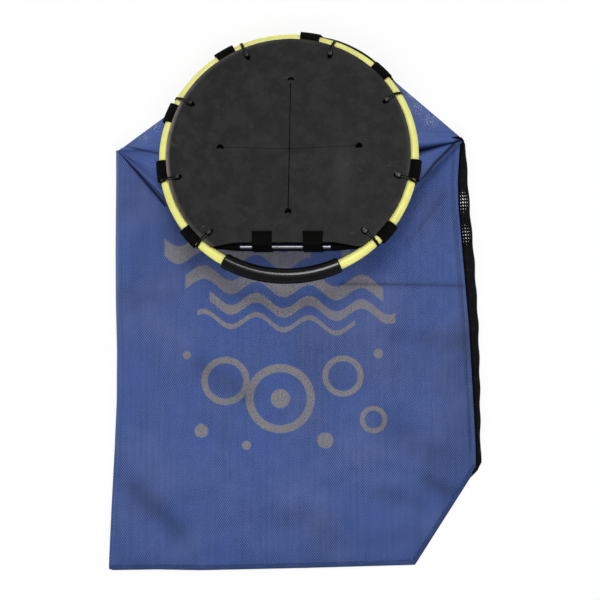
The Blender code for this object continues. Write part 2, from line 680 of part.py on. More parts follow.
def inset_corner(corner, out_a, in_a, out_b, in_b):
    """The point inside a corner of the outline that is set in from each of its two lines."""
    cross = out_a.x * out_b.y - out_a.y * out_b.x
    return corner - Vector((in_a * out_b.y - in_b * out_a.y, out_a.x * in_b - out_b.x * in_a, 0)) / cross


def along_fold(out):
    """The fold's direction, as long as it takes to come out by 1 along a side's outward direction."""
    fold = SHOULDER_LEFT - SHOULDER_RIGHT
    return fold / fold.dot(out)


def side_line(corner, shoulder, clear_of):
    """The line of a side strip: from FIT beyond the hem's furthest point to FIT below the shoulder."""
    along = (shoulder - corner).normalized()
    start = corner + along * (max((point - corner).dot(along) for point in clear_of) + FIT)
    return start, shoulder - along * FIT, along


def make_body(bag):
    """The flat part of the bag: front and back panels, the two sides and the hem."""
    hem_path = [HEM_LEFT, HEM_RIGHT, CORNER_RIGHT]
    hem_in = HEM_WIDTH + FIT
    hem_out = outward_at(hem_path, 0, 1)
    corner_out = outward_at(hem_path, 2, 1)
    side_strip("bottom_hem", hem_path, [HEM_WIDTH] * 3, 1, bag, blue_cloth())
    low_right = HEM_RIGHT - outward_at(hem_path, 1, 1) * hem_in
    corner_right = CORNER_RIGHT - corner_out * hem_in

    left_out = outward_at([HEM_LEFT, SHOULDER_LEFT], 0, -1)
    left_in = LEFT_EDGE_WIDTH + FIT
    low_left = inset_corner(HEM_LEFT, left_out, left_in, hem_out, hem_in)
    left_start, left_top, _ = side_line(HEM_LEFT, SHOULDER_LEFT, [HEM_LEFT - hem_out * hem_in, low_left])
    left_end = along_fold(left_out)
    side_strip("left_edge", [left_start, left_top], [LEFT_EDGE_WIDTH] * 2, -1, bag, blue_cloth(), left_end)
    top_left = left_top - left_end * left_in

    net_low, net_top, net_along = side_line(CORNER_RIGHT, SHOULDER_RIGHT, [corner_right])
    net_path = [net_low.lerp(net_top, i / 4) for i in range(5)]
    net_out = outward_at(net_path, 0, 1)
    net_in = net_out * (NET_WIDTH + FIT)
    net_end = along_fold(net_out)
    net_widths = [NET_WIDTH] * 4 + [NET_WIDTH_TOP]
    side_strip("side_net", net_path, net_widths, 1, bag, black_net(), net_end)
    net_start = net_low - net_in - net_along * FIT
    side_right = net_path[3] - net_in
    top_right = net_top - net_end * (NET_WIDTH_TOP + FIT)

    lower = [low_left, low_right, corner_right, net_start, side_right, top_right]
    front = [point.xy for point in lower + [top_left]]
    plate("bag_front", [front], BAG_DEPTH - PANEL_THICKNESS, PANEL_THICKNESS, bag, blue_cloth())

    # the back goes on under the neck to the hoop's far rim
    reach = CLOTH_THICKNESS
    beyond = []
    for i in range(BACK_STEPS + 1):
        share = 1 - SHOULDER_SHARE_RIGHT + (SHOULDER_SHARE_LEFT + SHOULDER_SHARE_RIGHT - 1) * i / BACK_STEPS
        foot = neck_foot(share)
        away = Vector((foot.x - HOOP_MIDDLE.x, foot.y - HOOP_MIDDLE.y)).normalized()
        shoulder = top_right if share > 0.5 else top_left
        if foot.y > shoulder.y + reach:
            beyond.append(foot.xy + away * reach)
    back = [point.xy for point in lower] + beyond + [top_left.xy]
    plate("bag_back", [back], 0.0, PANEL_THICKNESS, bag, blue_cloth())


def main():
    clear_scene()
    bag = empty("bag_frame", (0.0, -far_edge() / 2, 0.0))
    pivot = empty("hoop_pivot", PIVOT, bag, (-TILT, 0.0, TURN))
    hoop = empty("hoop_middle", (0.0, -HOOP_RADIUS, 0.0), pivot, (0.0, 0.0, SPIN - TURN))
    make_hoop_frame(hoop)
    make_entry(hoop)
    for number, (hole_angle, hose_angle) in enumerate(tie_angles(), 1):
        make_tie(number, hole_angle, hose_angle, hoop)
    make_tabs(hoop)
    make_binding(hoop)
    make_neck(bag)
    make_body(bag)


main()
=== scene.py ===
"""A dive catch bag, laid flat and face up on a white table.

The bag is a tube of blue coated mesh cloth with a strip of black net down its right side. Its mouth hangs
from a round hoop in a yellow hose, which lies tilted over the bag's upper half. A rubber sheet cut by a
cross closes the hoop, a rod crosses it, and a black grip covers it at the hand side. All sizes are metres.

Two frames are used. The bag's frame is the world's: X across the bag, Y along it, Z up. The hoop's frame
has its origin in the middle of the hoop, the hoop's circle in its XY plane and the grip towards -Y.
"""

import bmesh
import bpy
import numpy as np
from bpy.props import FloatProperty, FloatVectorProperty, IntProperty, PointerProperty
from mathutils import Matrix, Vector


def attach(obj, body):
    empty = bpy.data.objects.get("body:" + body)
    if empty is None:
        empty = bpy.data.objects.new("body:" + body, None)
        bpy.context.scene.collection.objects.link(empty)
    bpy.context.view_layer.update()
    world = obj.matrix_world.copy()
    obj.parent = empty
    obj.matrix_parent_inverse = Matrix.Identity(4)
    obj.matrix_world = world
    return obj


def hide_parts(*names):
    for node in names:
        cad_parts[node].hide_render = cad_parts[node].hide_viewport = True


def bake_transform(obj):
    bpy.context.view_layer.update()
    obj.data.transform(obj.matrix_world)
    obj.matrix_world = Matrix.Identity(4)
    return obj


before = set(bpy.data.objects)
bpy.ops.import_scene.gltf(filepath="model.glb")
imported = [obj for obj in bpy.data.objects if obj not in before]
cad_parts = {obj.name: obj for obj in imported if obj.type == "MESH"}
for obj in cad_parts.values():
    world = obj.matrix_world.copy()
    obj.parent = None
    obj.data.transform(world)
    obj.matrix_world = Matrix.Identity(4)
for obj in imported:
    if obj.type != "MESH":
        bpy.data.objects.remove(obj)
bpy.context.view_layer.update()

bl_info = {
    "name": "Dive catch bag",
    "version": (1, 0, 0),
    "blender": (4, 5, 0),
    "location": "3D View > Sidebar > Catch bag",
    "description": "Makes a dive catch bag with a hoop mouth, piece by piece",
    "category": "Add Mesh",
}

# The hoop's place on the bag, as the frame holds it
HOOP_MIDDLE = np.array([-0.0095, 0.17808, 0.06616])
HOOP_TILT, HOOP_TURN, HOOP_SPIN = np.radians([16.06, 13.7, -0.5])
HOOP_RADIUS = 0.1526        # to the middle of the hose
ROD_OFFSET = 0.1161         # the rod's distance from the hoop's middle
CHORD_ANGLE = np.arcsin(ROD_OFFSET / HOOP_RADIUS)
HALF_CHORD = HOOP_RADIUS * np.cos(CHORD_ANGLE)
MOUTH_EDGE = 2 * HALF_CHORD + HOOP_RADIUS * (np.pi + 2 * CHORD_ANGLE)
GRIP_ANGLES = np.radians([-119.4, -65.2])
LEAN_MOST, LEAN_ANGLE = np.radians([45.0, 65.0])

# Along the mouth's edge, in degrees round the hoop: the tabs, and each tie at its hole and at the hose
TAB_ANGLES = [81.0, 43.8, -7.3, -39.1, -138.4, -172.8, 159.4, 121.2]
TIE_ANGLES = [(112.5, 112.8), (68.6, 69.5), (29.2, 30.1), (-12.5, -12.8),
              (-46.7, -46.1), (-132.6, -133.0), (-167.2, -167.4), (151.7, 152.0)]
# Along the rod: its two tabs, and the part that shows, beyond which the binding wraps it
CHORD_TAB_PLACES = [-0.0292, 0.0320]
BARE_ROD = (-0.0560, 0.0530)
# The cross's middle in the hoop's plane, and half a slit
CROSS_MIDDLE = np.array([0.0017, 0.0117])
SLIT_HALF = 0.0845
TIE_HOLE_REACH, TIE_HOLE = 0.1342, 0.0028    # from the hoop's middle to a tie's hole, and its radius
# The stop holes' lips, from the right hole round: the height of their ends on the hole in degrees, and
# how far their middle rises
HOLE_LIPS = [(-43, 0.0004), (-9, 0.0012), (-30, 0.0016), (-42, 0.0014)]
LEAVES = {"far_right": 45, "far_left": 135, "near_left": 225, "near_right": 315}

# The flat bag's outline, in plan
HEM_LEFT = np.array([-0.2320, -0.3333])
HEM_RIGHT = np.array([0.1476, -0.3272])
HEM_CORNER = np.array([0.2256, -0.2045])
HEM = np.array([HEM_LEFT, HEM_RIGHT, HEM_CORNER])
SHOULDER_LEFT = np.array([-0.2217, 0.1882, 0.0174])
SHOULDER_RIGHT = np.array([0.2090, 0.2012, 0.0174])
FOLD_MIDDLE = np.array([-0.0075, 0.1947, 0.0174])
FOLD_SLOPE = 0.03           # how far the fold runs up the bag for each metre across it
# The front's left and right sides and the net's outer one, as rows of Y and X
LEFT_LINE = np.array([(-0.3333, -0.2317), (-0.2466, -0.2273), (-0.1840, -0.2239), (-0.1220, -0.2212),
                      (-0.0598, -0.2209), (0.0025, -0.2224), (0.0648, -0.2226), (0.1840, -0.2217),
                      (0.1900, -0.2217)])
RIGHT_LINE = np.array([(-0.2045, 0.2252), (-0.1776, 0.2243), (-0.1142, 0.2206), (-0.0285, 0.2157),
                       (0.0547, 0.2082), (0.1192, 0.2025), (0.1503, 0.2018), (0.2012, 0.2046)])
NET_OUTER = np.array([(-0.2180, 0.2180), (-0.2100, 0.2264), (-0.2000, 0.2312), (-0.1843, 0.2293),
                      (-0.1620, 0.2291), (-0.0984, 0.2284), (-0.0237, 0.2264), (0.0548, 0.2213),
                      (0.1080, 0.2165), (0.1390, 0.2142), (0.1870, 0.2110), (0.1965, 0.2098),
                      (0.2030, 0.2062)])
# How far the hem hangs below a straight line between its corners, at some X
HEM_SAG = np.array([(-0.232, 0.0005), (-0.172, 0.0006), (-0.120, 0.0024), (-0.055, 0.0021),
                    (0.010, 0.0017), (0.075, 0.0009), (0.1476, 0.0)])

# Heights of the cloth on the table and on the bag
BACK_HEIGHT = 0.0013
FOOT_BACK = 0.0024
HEM_HEIGHT = 0.0036
NECK_UP = -0.0187           # the cloth's edge below the hoop's plane
# Heights of the entry sheet above the hoop's plane, and the gap left by what lies on it or on the hose
SHEET_LOW, SHEET_MIDDLE, SHEET_TOP = 0.007668, 0.0092, 0.010668
UNDER_SHEET, OVER_SHEET = 0.00767, 0.01067
CLEAR = 0.0003

LEFT_TURN, RIGHT_TURN = 0.180, 0.205    # where the neck folds over, as shares of the mouth's edge
LEFT_END, RIGHT_END = 0.270, 0.276      # where its foot leaves the shoulder for the back
LEFT_MEETS, RIGHT_MEETS = 147, 47       # where its foot meets the hoop's line, in degrees round the hoop
BACK_SEAM = 0.500
ROUND_SHOULDER = 0.0035     # within this of a shoulder the foot lies on a small arc round it
HEM_CLOTH, NET_CORD = 0.0008, 0.0009    # thicknesses
STITCH, STITCH_GAP, THREAD = 0.0030, 0.0012, 0.00028    # a stitch's length, the gap after it, its radius
# The right wing's long fold, in plan, from the shoulder to the hose
RIGHT_FOLD = np.array([(0.2044, 0.2005), (0.1982, 0.1993), (0.1843, 0.1847), (0.1691, 0.1696),
                       (0.1565, 0.1532), (0.1489, 0.1444), (0.1402, 0.1344)])
# The left wing's one, and worn spots on both wings, as X, Y and width
LEFT_FOLD = ((-0.2112, 0.1930), (-0.1660, 0.1826))
WORN_SPOTS = {"front": [], "left": [(-0.190, 0.205, 0.006), (-0.175, 0.219, 0.008)],
              "right": [(0.166, 0.226, 0.009), (0.150, 0.241, 0.008), (0.141, 0.256, 0.005)]}
# The left wing's crease and the right wing's valley, as shares of the mouth's edge, and the two banks of
# the valley with the height that each rises
CREASE, VALLEY, VALLEY_DEPTH = 0.258, 0.7425, 0.020
BANKS = [(0.7310, 0.0035), (0.7545, 0.0028)]
# The neck's pieces: name, side, start and end as shares of the mouth's edge, the CAD nodes each stands
# for, its flat size and area, and the gradient and offset of a bend from the bag to the hoop, which is
# not made here
NECK_PIECES = [
    ("neck_front_cloth", "front", -RIGHT_TURN, LEFT_TURN, ["neck_front"], (0.38, 0.14), 0.05,
     (0.326, -10.844, 10.321), 1.9342),
    ("neck_left_cloth", "left", LEFT_TURN, BACK_SEAM, ["neck_left"], (0.30, 0.08), 0.0072,
     (-8.031, 24.589, 96.232), -8.1007),
    ("neck_right_cloth", "right", BACK_SEAM, 1 - RIGHT_TURN, ["neck_right", "neck_back"],
     (0.28, 0.08), 0.0105, (1.530, 8.683, 36.645), -2.7045)]

# The front's print, on the pattern's places: the waves' heights, left and right ends and half widths, and
# the rings' middles, radii and half widths, where a ring of no radius is a dot
WAVES = [(0.058, -0.176, 0.030, 0.0110), (0.022, -0.150, 0.120, 0.0085),
         (-0.006, -0.120, 0.135, 0.0060), (-0.027, -0.135, 0.085, 0.0032)]
RINGS = [(-0.088, -0.098, 0.026, 0.0040), (-0.020, -0.120, 0.038, 0.0050),
         (0.058, -0.092, 0.022, 0.0036), (0.096, -0.146, 0.014, 0.0030),
         (-0.118, -0.160, 0.0, 0.0085), (-0.062, -0.178, 0.0, 0.0055), (0.036, -0.172, 0.0, 0.0100),
         (-0.020, -0.120, 0.0, 0.0120), (0.102, -0.064, 0.0, 0.0060), (-0.136, -0.066, 0.0, 0.0050),
         (0.062, 0.060, 0.0, 0.0060)]
# Creases on the front: start, end, half width, how far they sink, how much painted shade they get
CREASES = [((-0.120, -0.079), (-0.060, -0.116), 0.0150, 0.0012, 0.26),
           ((-0.200, -0.232), (-0.146, -0.284), 0.0140, 0.0020, 0.34),
           ((-0.219, 0.008), (-0.160, 0.006), 0.0100, 0.0008, 0.14),
           ((0.054, 0.0232), (0.208, 0.0205), 0.0034, 0.0010, 0.26),
           ((0.125, -0.042), (0.206, -0.049), 0.0120, 0.0010, 0.18),
           ((0.164, -0.222), (0.198, -0.240), 0.0110, 0.0018, 0.34),
           ((0.110, -0.236), (0.156, -0.252), 0.0100, 0.0010, 0.18),
           ((0.112, -0.150), (0.186, -0.196), 0.0190, 0.0007, 0.20),
           ((-0.060, -0.262), (0.060, -0.274), 0.0160, 0.0008, 0.10),
           ((0.182, 0.133), (0.138, 0.072), 0.0060, 0.0012, 0.14),
           ((0.150, 0.128), (0.128, 0.086), 0.0070, 0.0010, 0.12),
           ((-0.190, 0.100), (-0.205, -0.010), 0.0090, 0.0008, 0.10),
           ((0.060, -0.300), (0.150, -0.290), 0.0100, 0.0010, 0.14)]
# Painted shadow lines of folds, of a crease and beside the seam by the net, drawn finer than the surface
# is divided: start, end, half width, how much they darken
SHADOW_LINES = [((-0.2203, 0.1880), (-0.163, 0.1205), 0.0019, 0.86),
              ((0.056, 0.0228), (0.208, 0.0202), 0.0013, 0.30),
              ((0.196, 0.140), (0.2085, -0.02), 0.0008, 0.30),
              ((0.2085, -0.02), (0.217, -0.185), 0.0008, 0.34)]
# Ridges, which only rise: start, end, half width, how far they rise
RIDGES = [((0.186, 0.128), (0.141, 0.072), 0.0030, 0.0016),
          ((-0.150, -0.250), (-0.115, -0.285), 0.0090, 0.0012),
          ((0.146, -0.236), (0.184, -0.260), 0.0080, 0.0012),
          ((-0.100, -0.060), (-0.030, -0.090), 0.0120, 0.0010)]
# Slow swells of the front: radians per metre along X and Y, a shift, and the height
SWELLS = [(21, 13, 0.4, 0.0006), (-14, 27, 1.9, 0.0006), (47, 9, 2.6, 0.0003), (31, -38, 5.0, 0.0003),
          (-60, 22, 1.1, 0.00016)]


# ---------------------------------------------------------------- what a user may change

def colour(name, description, default):
    """A colour setting, in the scene's linear values."""
    return FloatVectorProperty(name=name, description=description, subtype="COLOR", size=3,
                               min=0.0, max=1.0, default=default)


def length(name, description, default):
    """A length setting in metres."""
    return FloatProperty(name=name, description=description, default=default, min=0.0, unit="LENGTH",
                         precision=5)


class CatchBagColours(bpy.types.PropertyGroup):
    """The colours of the bag's materials."""
    cloth: colour("Cloth", "Threads of the coated mesh cloth", (0.053, 0.096, 0.290))
    cloth_gap: colour("Cloth gaps", "The cloth's small openings", (0.014, 0.027, 0.095))
    cloth_edge: colour("Cloth edge", "The worn edge down the left side", (0.150, 0.185, 0.330))
    stencil: colour("Stencil", "The pattern printed on the front", (0.235, 0.215, 0.185))
    hem: colour("Hem", "The turned hem at the bottom", (0.030, 0.052, 0.125))
    net: colour("Net", "The side's knotted net", (0.0075, 0.0075, 0.0090))
    webbing: colour("Webbing", "Tabs and binding", (0.0020, 0.0017, 0.0015))
    hose: colour("Hose", "The yellow hose", (0.800, 0.795, 0.235))
    grip: colour("Grip", "The hand grip", (0.0022, 0.0020, 0.0022))
    rubber: colour("Rubber", "The entry sheet", (0.0118, 0.0120, 0.0118))
    rubber_worn: colour("Worn rubber", "The sheet's rubbed rim", (0.190, 0.165, 0.150))
    tie: colour("Cable ties", "The black plastic of the ties", (0.0022, 0.0022, 0.0022))
    steel: colour("Steel", "The rod and the hoop's core", (0.094, 0.097, 0.107))


class CatchBagSizes(bpy.types.PropertyGroup):
    """The sizes of the bag's pieces."""
    cloth_thickness: length("Cloth thickness", "Thickness of the mesh cloth", 0.0010)
    weave_pitch: length("Weave pitch", "From one opening of the cloth to the next", 0.0029)
    bag_height: length("Bag height", "Height of the empty bag as it lies", 0.0148)
    hem_width: length("Hem width", "Width of the turned hem", 0.0048)
    net_pitch: length("Net pitch", "From one mesh of the side net to the next", 0.0040)
    hose_radius: length("Hose radius", "Outer radius of the hose", 0.0060)
    grip_radius: length("Grip radius", "Outer radius of the hand grip", 0.0095)
    rod_radius: length("Rod radius", "Radius of the rod across the hoop", 0.0025)
    rubber_thickness: length("Rubber thickness", "Thickness of the entry sheet", 0.0030)
    slit_half: length("Half slit", "From the cross's middle to a stop hole", SLIT_HALF)
    slit_gap: length("Slit gap", "Width of the long slit", 0.0011)
    stop_radius: length("Stop hole radius", "Radius of a slit's stop hole", 0.00425)
    webbing_width: length("Webbing width", "Width of the tabs", 0.0240)
    webbing_thickness: length("Webbing thickness", "Thickness of the tabs", 0.0013)
    binding_width: length("Binding width", "Height of the mouth's binding tape", 0.0095)
    tie_width: length("Tie width", "Width of a cable tie's strap", 0.0036)
    tie_thickness: length("Tie thickness", "Thickness of a cable tie's strap", 0.0012)


class CatchBagSteps(bpy.types.PropertyGroup):
    """How finely the surfaces are divided."""
    bag_across: IntProperty(name="Bag across", description="Columns on the bag's front", default=150,
                            min=20, max=200)
    bag_along: IntProperty(name="Bag along", description="Rows from the hem to the fold", default=160,
                           min=20, max=200)
    neck_along: IntProperty(name="Neck along", description="Columns on each piece of the neck",
                            default=110, min=20, max=300)
    neck_down: IntProperty(name="Neck down", description="Rows from the mouth to the foot", default=40,
                           min=8, max=80)
    round_sides: IntProperty(name="Round sides", description="Sides of the hose and the grip",
                             default=32, min=12, max=64)


class CatchBagSettings(bpy.types.PropertyGroup):
    """All of the bag's settings."""
    colours: PointerProperty(type=CatchBagColours)
    sizes: PointerProperty(type=CatchBagSizes)
    steps: PointerProperty(type=CatchBagSteps)


# ---------------------------------------------------------------- places on the hoop and the bag

def turn_about(axis, angle):
    """The matrix of a turn about X or Z: the two other axes are mixed by the angle's cosine and sine."""
    c, s = np.cos(angle), np.sin(angle)
    if axis == "X":
        return np.array([[1, 0, 0], [0, c, -s], [0, s, c]])
    return np.array([[c, -s, 0], [s, c, 0], [0, 0, 1]])


HOOP_AXES = turn_about("Z", HOOP_TURN) @ turn_about("X", -HOOP_TILT) @ turn_about("Z", HOOP_SPIN - HOOP_TURN)


def from_hoop(points):
    """Points of the hoop's frame in the world: turned by the hoop's axes, moved to its middle."""
    return HOOP_MIDDLE + np.asarray(points, float) @ HOOP_AXES.T


def stack(*parts):
    """Coordinates of one shape joined in a last axis of their own."""
    return np.stack(np.broadcast_arrays(*[np.asarray(p, float) for p in parts]), -1)


def unit(vectors):
    """Vectors divided by their lengths."""
    return vectors / np.maximum(np.linalg.norm(vectors, axis=-1, keepdims=True), 1e-12)


def circle(turn):
    """Points at angles of the circle of radius 1: the cosine and the sine."""
    return stack(np.cos(turn), np.sin(turn))


def round_turn(count):
    """Angles at even steps round a circle, without the last, which is the first again."""
    return np.linspace(0, 2 * np.pi, count, endpoint=False)


def reach_along(path):
    """The length of a path of points up to each of them."""
    return np.concatenate([[0], np.cumsum(np.linalg.norm(np.diff(path, axis=0), axis=-1))])


def read(table, at):
    """A table's second column for places in its first, straight between its rows."""
    return np.interp(at, table[:, 0], table[:, 1])


def ease(x):
    """0 to 1 in a smooth step: 3x^2 - 2x^3, held outside."""
    x = np.clip(x, 0, 1)
    return x * x * (3 - 2 * x)


def hump(x, middle, width):
    """A bell curve: e to the minus square of the distance from its middle over its width."""
    return np.exp(-((x - middle) / width) ** 2)


def leaned(angle, aside, up):
    """A point of a section across the hoop that leans outward at the far rim.

    The section's two axes, outward and up, are turned by 45 degrees times the cube of the cosine of the
    angle from 65 degrees, where that cosine is positive.
    """
    lean = LEAN_MOST * np.clip(np.cos(angle - LEAN_ANGLE), 0, None) ** 3
    reach = HOOP_RADIUS + aside * np.cos(lean) - up * np.sin(lean)
    return stack(reach * np.cos(angle), reach * np.sin(angle), aside * np.sin(lean) + up * np.cos(lean))


def along_mouth(share):
    """For shares of the mouth's edge: the length along it, the X on the rod's line, and whether the place
    is on that line. The edge runs from the rod's middle to the left, round the circle and back."""
    along = (np.asarray(share, float) % 1.0) * MOUTH_EDGE
    first = along <= HALF_CHORD
    return along, np.where(first, -along, MOUTH_EDGE - along), first | (along >= MOUTH_EDGE - HALF_CHORD)


def mouth(share, aside, up):
    """A point by the mouth's edge in the hoop's frame, for a share of the edge's length.

    Aside is outward from the edge and up is the hoop's own up, leaned as the section is.
    """
    share, aside, up = np.broadcast_arrays(share, aside, up)
    along, x, straight = along_mouth(share)
    arc = leaned(np.pi + CHORD_ANGLE - (along - HALF_CHORD) / HOOP_RADIUS, aside, up)
    return np.where(straight[..., None], stack(x, -ROD_OFFSET - aside, up), arc)


def bare(x):
    """1 where the rod is bare and 0 at its ends, in a smooth step over 36 mm on each side."""
    step = 0.036
    return ease((x - BARE_ROD[0] + step) / step) * ease((BARE_ROD[1] + step - x) / step)


def tucked(share):
    """How far the mouth's edge lies inside the rod, for a share of the edge: 3.8 mm beyond the bare part
    of the rod, 0.9 mm along it and none at the rod's own ends, where it rises over 12 mm."""
    _, x, straight = along_mouth(share)
    return np.where(straight, (0.0038 - 0.0029 * bare(x)) * ease((HALF_CHORD - np.abs(x)) / 0.012), 0)


def below_mouth(angle):
    """Where the neck meets the back: under the mouth's edge at an angle round the hoop."""
    place = from_hoop(leaned(angle, -0.001, NECK_UP))
    place[..., 2] = FOOT_BACK
    return place


def back_foot(share, shoulder, angle):
    """The neck's foot on the back, from a shoulder (0) to the far rim (1) by length.

    It is straight to the hoop's own line, which it meets at an angle, and follows that line from there.
    """
    angle = np.radians(angle)
    corner = below_mouth(angle)
    start = np.array([shoulder[0], shoulder[1], FOOT_BACK])
    straight = np.linalg.norm(corner - start)
    whole = straight + HOOP_RADIUS * abs(angle - np.pi / 2)
    along = share * whole
    first = start + (corner - start) * np.clip(along / straight, 0, 1)[:, None]
    done = np.clip((along - straight) / (whole - straight), 0, 1)
    return np.where((along <= straight)[:, None], first, below_mouth(angle + (np.pi / 2 - angle) * done))


def half_foot(share, turn, end, shoulder, angle):
    """The foot of half the neck: along the fold to the shoulder, held there, then on the back.

    Past the shoulder it sinks from the front to the back in a smooth step over 0.008 of the edge.
    """
    fold = FOLD_MIDDLE + (shoulder - FOLD_MIDDLE) * np.clip(share / turn, 0, 1)[:, None]
    back = back_foot(np.clip((share - end) / (0.5 - end), 0, 1), shoulder, angle)
    back[:, 2] += (shoulder[2] - FOOT_BACK) * (1 - ease((share - end) / 0.008))
    return np.where((share < end)[:, None], fold, back)


def neck_foot(share):
    """The neck's foot for shares of the mouth's edge, its left half and its right half."""
    share = np.asarray(share, float) % 1.0
    left = half_foot(np.minimum(share, 0.5), LEFT_TURN, LEFT_END, SHOULDER_LEFT, LEFT_MEETS)
    right = half_foot(np.minimum(1 - share, 0.5), RIGHT_TURN, RIGHT_END, SHOULDER_RIGHT, RIGHT_MEETS)
    return np.where((share <= 0.5)[:, None], left, right)


def segment_distance(x, y, start, end):
    """The distance in plan from points to the straight piece between two points."""
    run = np.subtract(end, start)
    t = np.clip(((x - start[0]) * run[0] + (y - start[1]) * run[1]) / (run @ run), 0, 1)
    return np.hypot(x - start[0] - t * run[0], y - start[1] - t * run[1])


# ---------------------------------------------------------------- surfaces to meshes

def grid_faces(rows, columns, close_rows=False, close_columns=False):
    """The four corners of each cell of a grid, as point numbers and as (row, column) places.

    A closed direction joins its last line to its first; its places run on past the last line, so that a
    pattern doesn't run back across the join.
    """
    i, j = np.meshgrid(np.arange(rows if close_rows else rows - 1),
                       np.arange(columns if close_columns else columns - 1), indexing="ij")
    places = np.stack([np.stack([i, j], -1), np.stack([i, j + 1], -1),
                       np.stack([i + 1, j + 1], -1), np.stack([i + 1, j], -1)], 2).reshape(-1, 4, 2)
    return (places[..., 0] % rows) * columns + places[..., 1] % columns, places


def outward(grid, core, faces, uvs):
    """Faces that look away from a core: all turned round if the grid's normals point to it."""
    normal = np.cross(grid[:-1, 1:] - grid[:-1, :-1], grid[1:, 1:] - grid[:-1, 1:])
    if (normal * (grid - core)[:-1, :-1]).sum() < 0:
        return [face[:, ::-1] for face in faces], [places[:, ::-1] for places in uvs]
    return faces, uvs


def slab(top, bottom, uv):
    """A closed solid between two grids of one size: the top, the bottom turned over, and a rim of quads
    along each edge."""
    rows, columns = top.shape[:2]
    count = rows * columns
    corners, places = grid_faces(rows, columns)
    around = uv[places[..., 0], places[..., 1]]
    faces, uvs = [corners, corners[:, ::-1] + count], [around, around[:, ::-1]]
    number = np.arange(count).reshape(rows, columns)
    for line in (number[0, ::-1], number[-1], number[:, 0], number[::-1, -1]):
        rim = np.stack([line[:-1], line[1:], line[1:] + count, line[:-1] + count], -1)
        faces.append(rim)
        uvs.append(uv.reshape(-1, 2)[rim % count])
    return np.concatenate([top.reshape(-1, 3), bottom.reshape(-1, 3)]), *outward(top, bottom, faces, uvs)


def thick(grid, thickness, uv):
    """A sheet of even thickness: its middle surface moved by half of it along its unit normals, which are
    the cross product of the differences along columns and along rows."""
    half = thickness / 2 * unit(np.cross(np.gradient(grid, axis=1), np.gradient(grid, axis=0)))
    return slab(grid + half, grid - half, uv)


def rod_patch(rings, uv):
    """A closed bar from rings of points: quads between the rings and one flat face at each end."""
    rows, columns = rings.shape[:2]
    corners, places = grid_faces(rows, columns, close_columns=True)
    first, last = np.arange(columns)[None, ::-1], np.arange(columns)[None] + (rows - 1) * columns
    faces = [corners, first, last]
    uvs = [uv[places[..., 0], places[..., 1]], uv[0, :columns][None, ::-1], uv[-1, :columns][None]]
    return rings.reshape(-1, 3), *outward(rings, rings.mean(axis=1, keepdims=True), faces, uvs)


def even_uv(rows, columns, high, wide):
    """A pattern's places on a grid in metres: columns across a width, rows along a height."""
    return stack(np.linspace(0, wide, columns)[None, :], np.linspace(0, high, rows)[:, None])


def plain_bar(rings, long, around):
    """A bar whose pattern is spread evenly along its length and round it."""
    rows, columns = rings.shape[:2]
    return rod_patch(rings, even_uv(rows, columns + 1, long, around))


def add_object(name, data):
    """An object of the scene with some data."""
    made = bpy.data.objects.new(name, data)
    bpy.context.scene.collection.objects.link(made)
    return made


def fill_layer(layer, key, numbers, kind=np.float32):
    """Hands a mesh an array of its numbers in one go."""
    layer.foreach_set(key, np.asarray(numbers).astype(kind).reshape(-1))


def make_piece(name, patches, finish, body, values=None):
    """One object from patches of points, faces and pattern places, riding on a body.

    Values are named numbers, one for each point.
    """
    points, loops, sizes, uvs, count = [], [], [], [], 0
    for patch_points, faces, patch_uvs in patches:
        for face, around in zip(faces, patch_uvs):
            loops.append((face + count).reshape(-1))
            sizes.append(np.full(len(face), face.shape[1]))
            uvs.append(around.reshape(-1, 2))
        points.append(patch_points)
        count += len(patch_points)
    points, loops, sizes, uvs = (np.concatenate(x) for x in (points, loops, sizes, uvs))
    mesh = bpy.data.meshes.new(name)
    mesh.vertices.add(count)
    fill_layer(mesh.vertices, "co", points)
    mesh.loops.add(len(loops))
    fill_layer(mesh.loops, "vertex_index", loops, np.int32)
    mesh.polygons.add(len(sizes))
    fill_layer(mesh.polygons, "loop_start", np.cumsum(sizes) - sizes, np.int32)
    fill_layer(mesh.polygons, "loop_total", sizes, np.int32)
    mesh.update(calc_edges=True)
    fill_layer(mesh.uv_layers.new(name="Pattern").data, "uv", uvs)
    for key, numbers in (values or {}).items():
        fill_layer(mesh.attributes.new(key, "FLOAT", "POINT").data, "value", numbers)
    fill_layer(mesh.polygons, "use_smooth", np.full(len(sizes), True), bool)
    if mesh.validate():
        raise RuntimeError(name + " has a face that can't be used")
    mesh.materials.append(finish)
    mesh.set_sharp_from_angle(angle=np.radians(50))
    piece = add_object(name, mesh)
    if body:
        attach(piece, body)
    return piece


def bend_between(piece, gradient):
    """Bakes a piece's place into its points. The gradient is not used."""
    gradient = np.asarray(gradient)
    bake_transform(piece)


# ---------------------------------------------------------------- materials

class Number:
    """A node's output, reckoned with as a number: each sign makes a node of its own."""

    def __init__(self, finish, socket):
        self.finish, self.socket = finish, socket

    def __add__(self, other):
        return self.finish.math("ADD", self, other)

    def __sub__(self, other):
        return self.finish.math("SUBTRACT", self, other)

    def __rsub__(self, other):
        return self.finish.math("SUBTRACT", other, self)

    def __mul__(self, other):
        return self.finish.math("MULTIPLY", self, other)

    def __truediv__(self, other):
        return self.finish.math("DIVIDE", self, other)


def four(value):
    """A colour with its fourth number, or an output as it is."""
    return value if isinstance(value, Number) else (*tuple(value)[:3], 1.0)


def times(factor, value):
    """A colour's three numbers times a factor."""
    return tuple(part * factor for part in value)


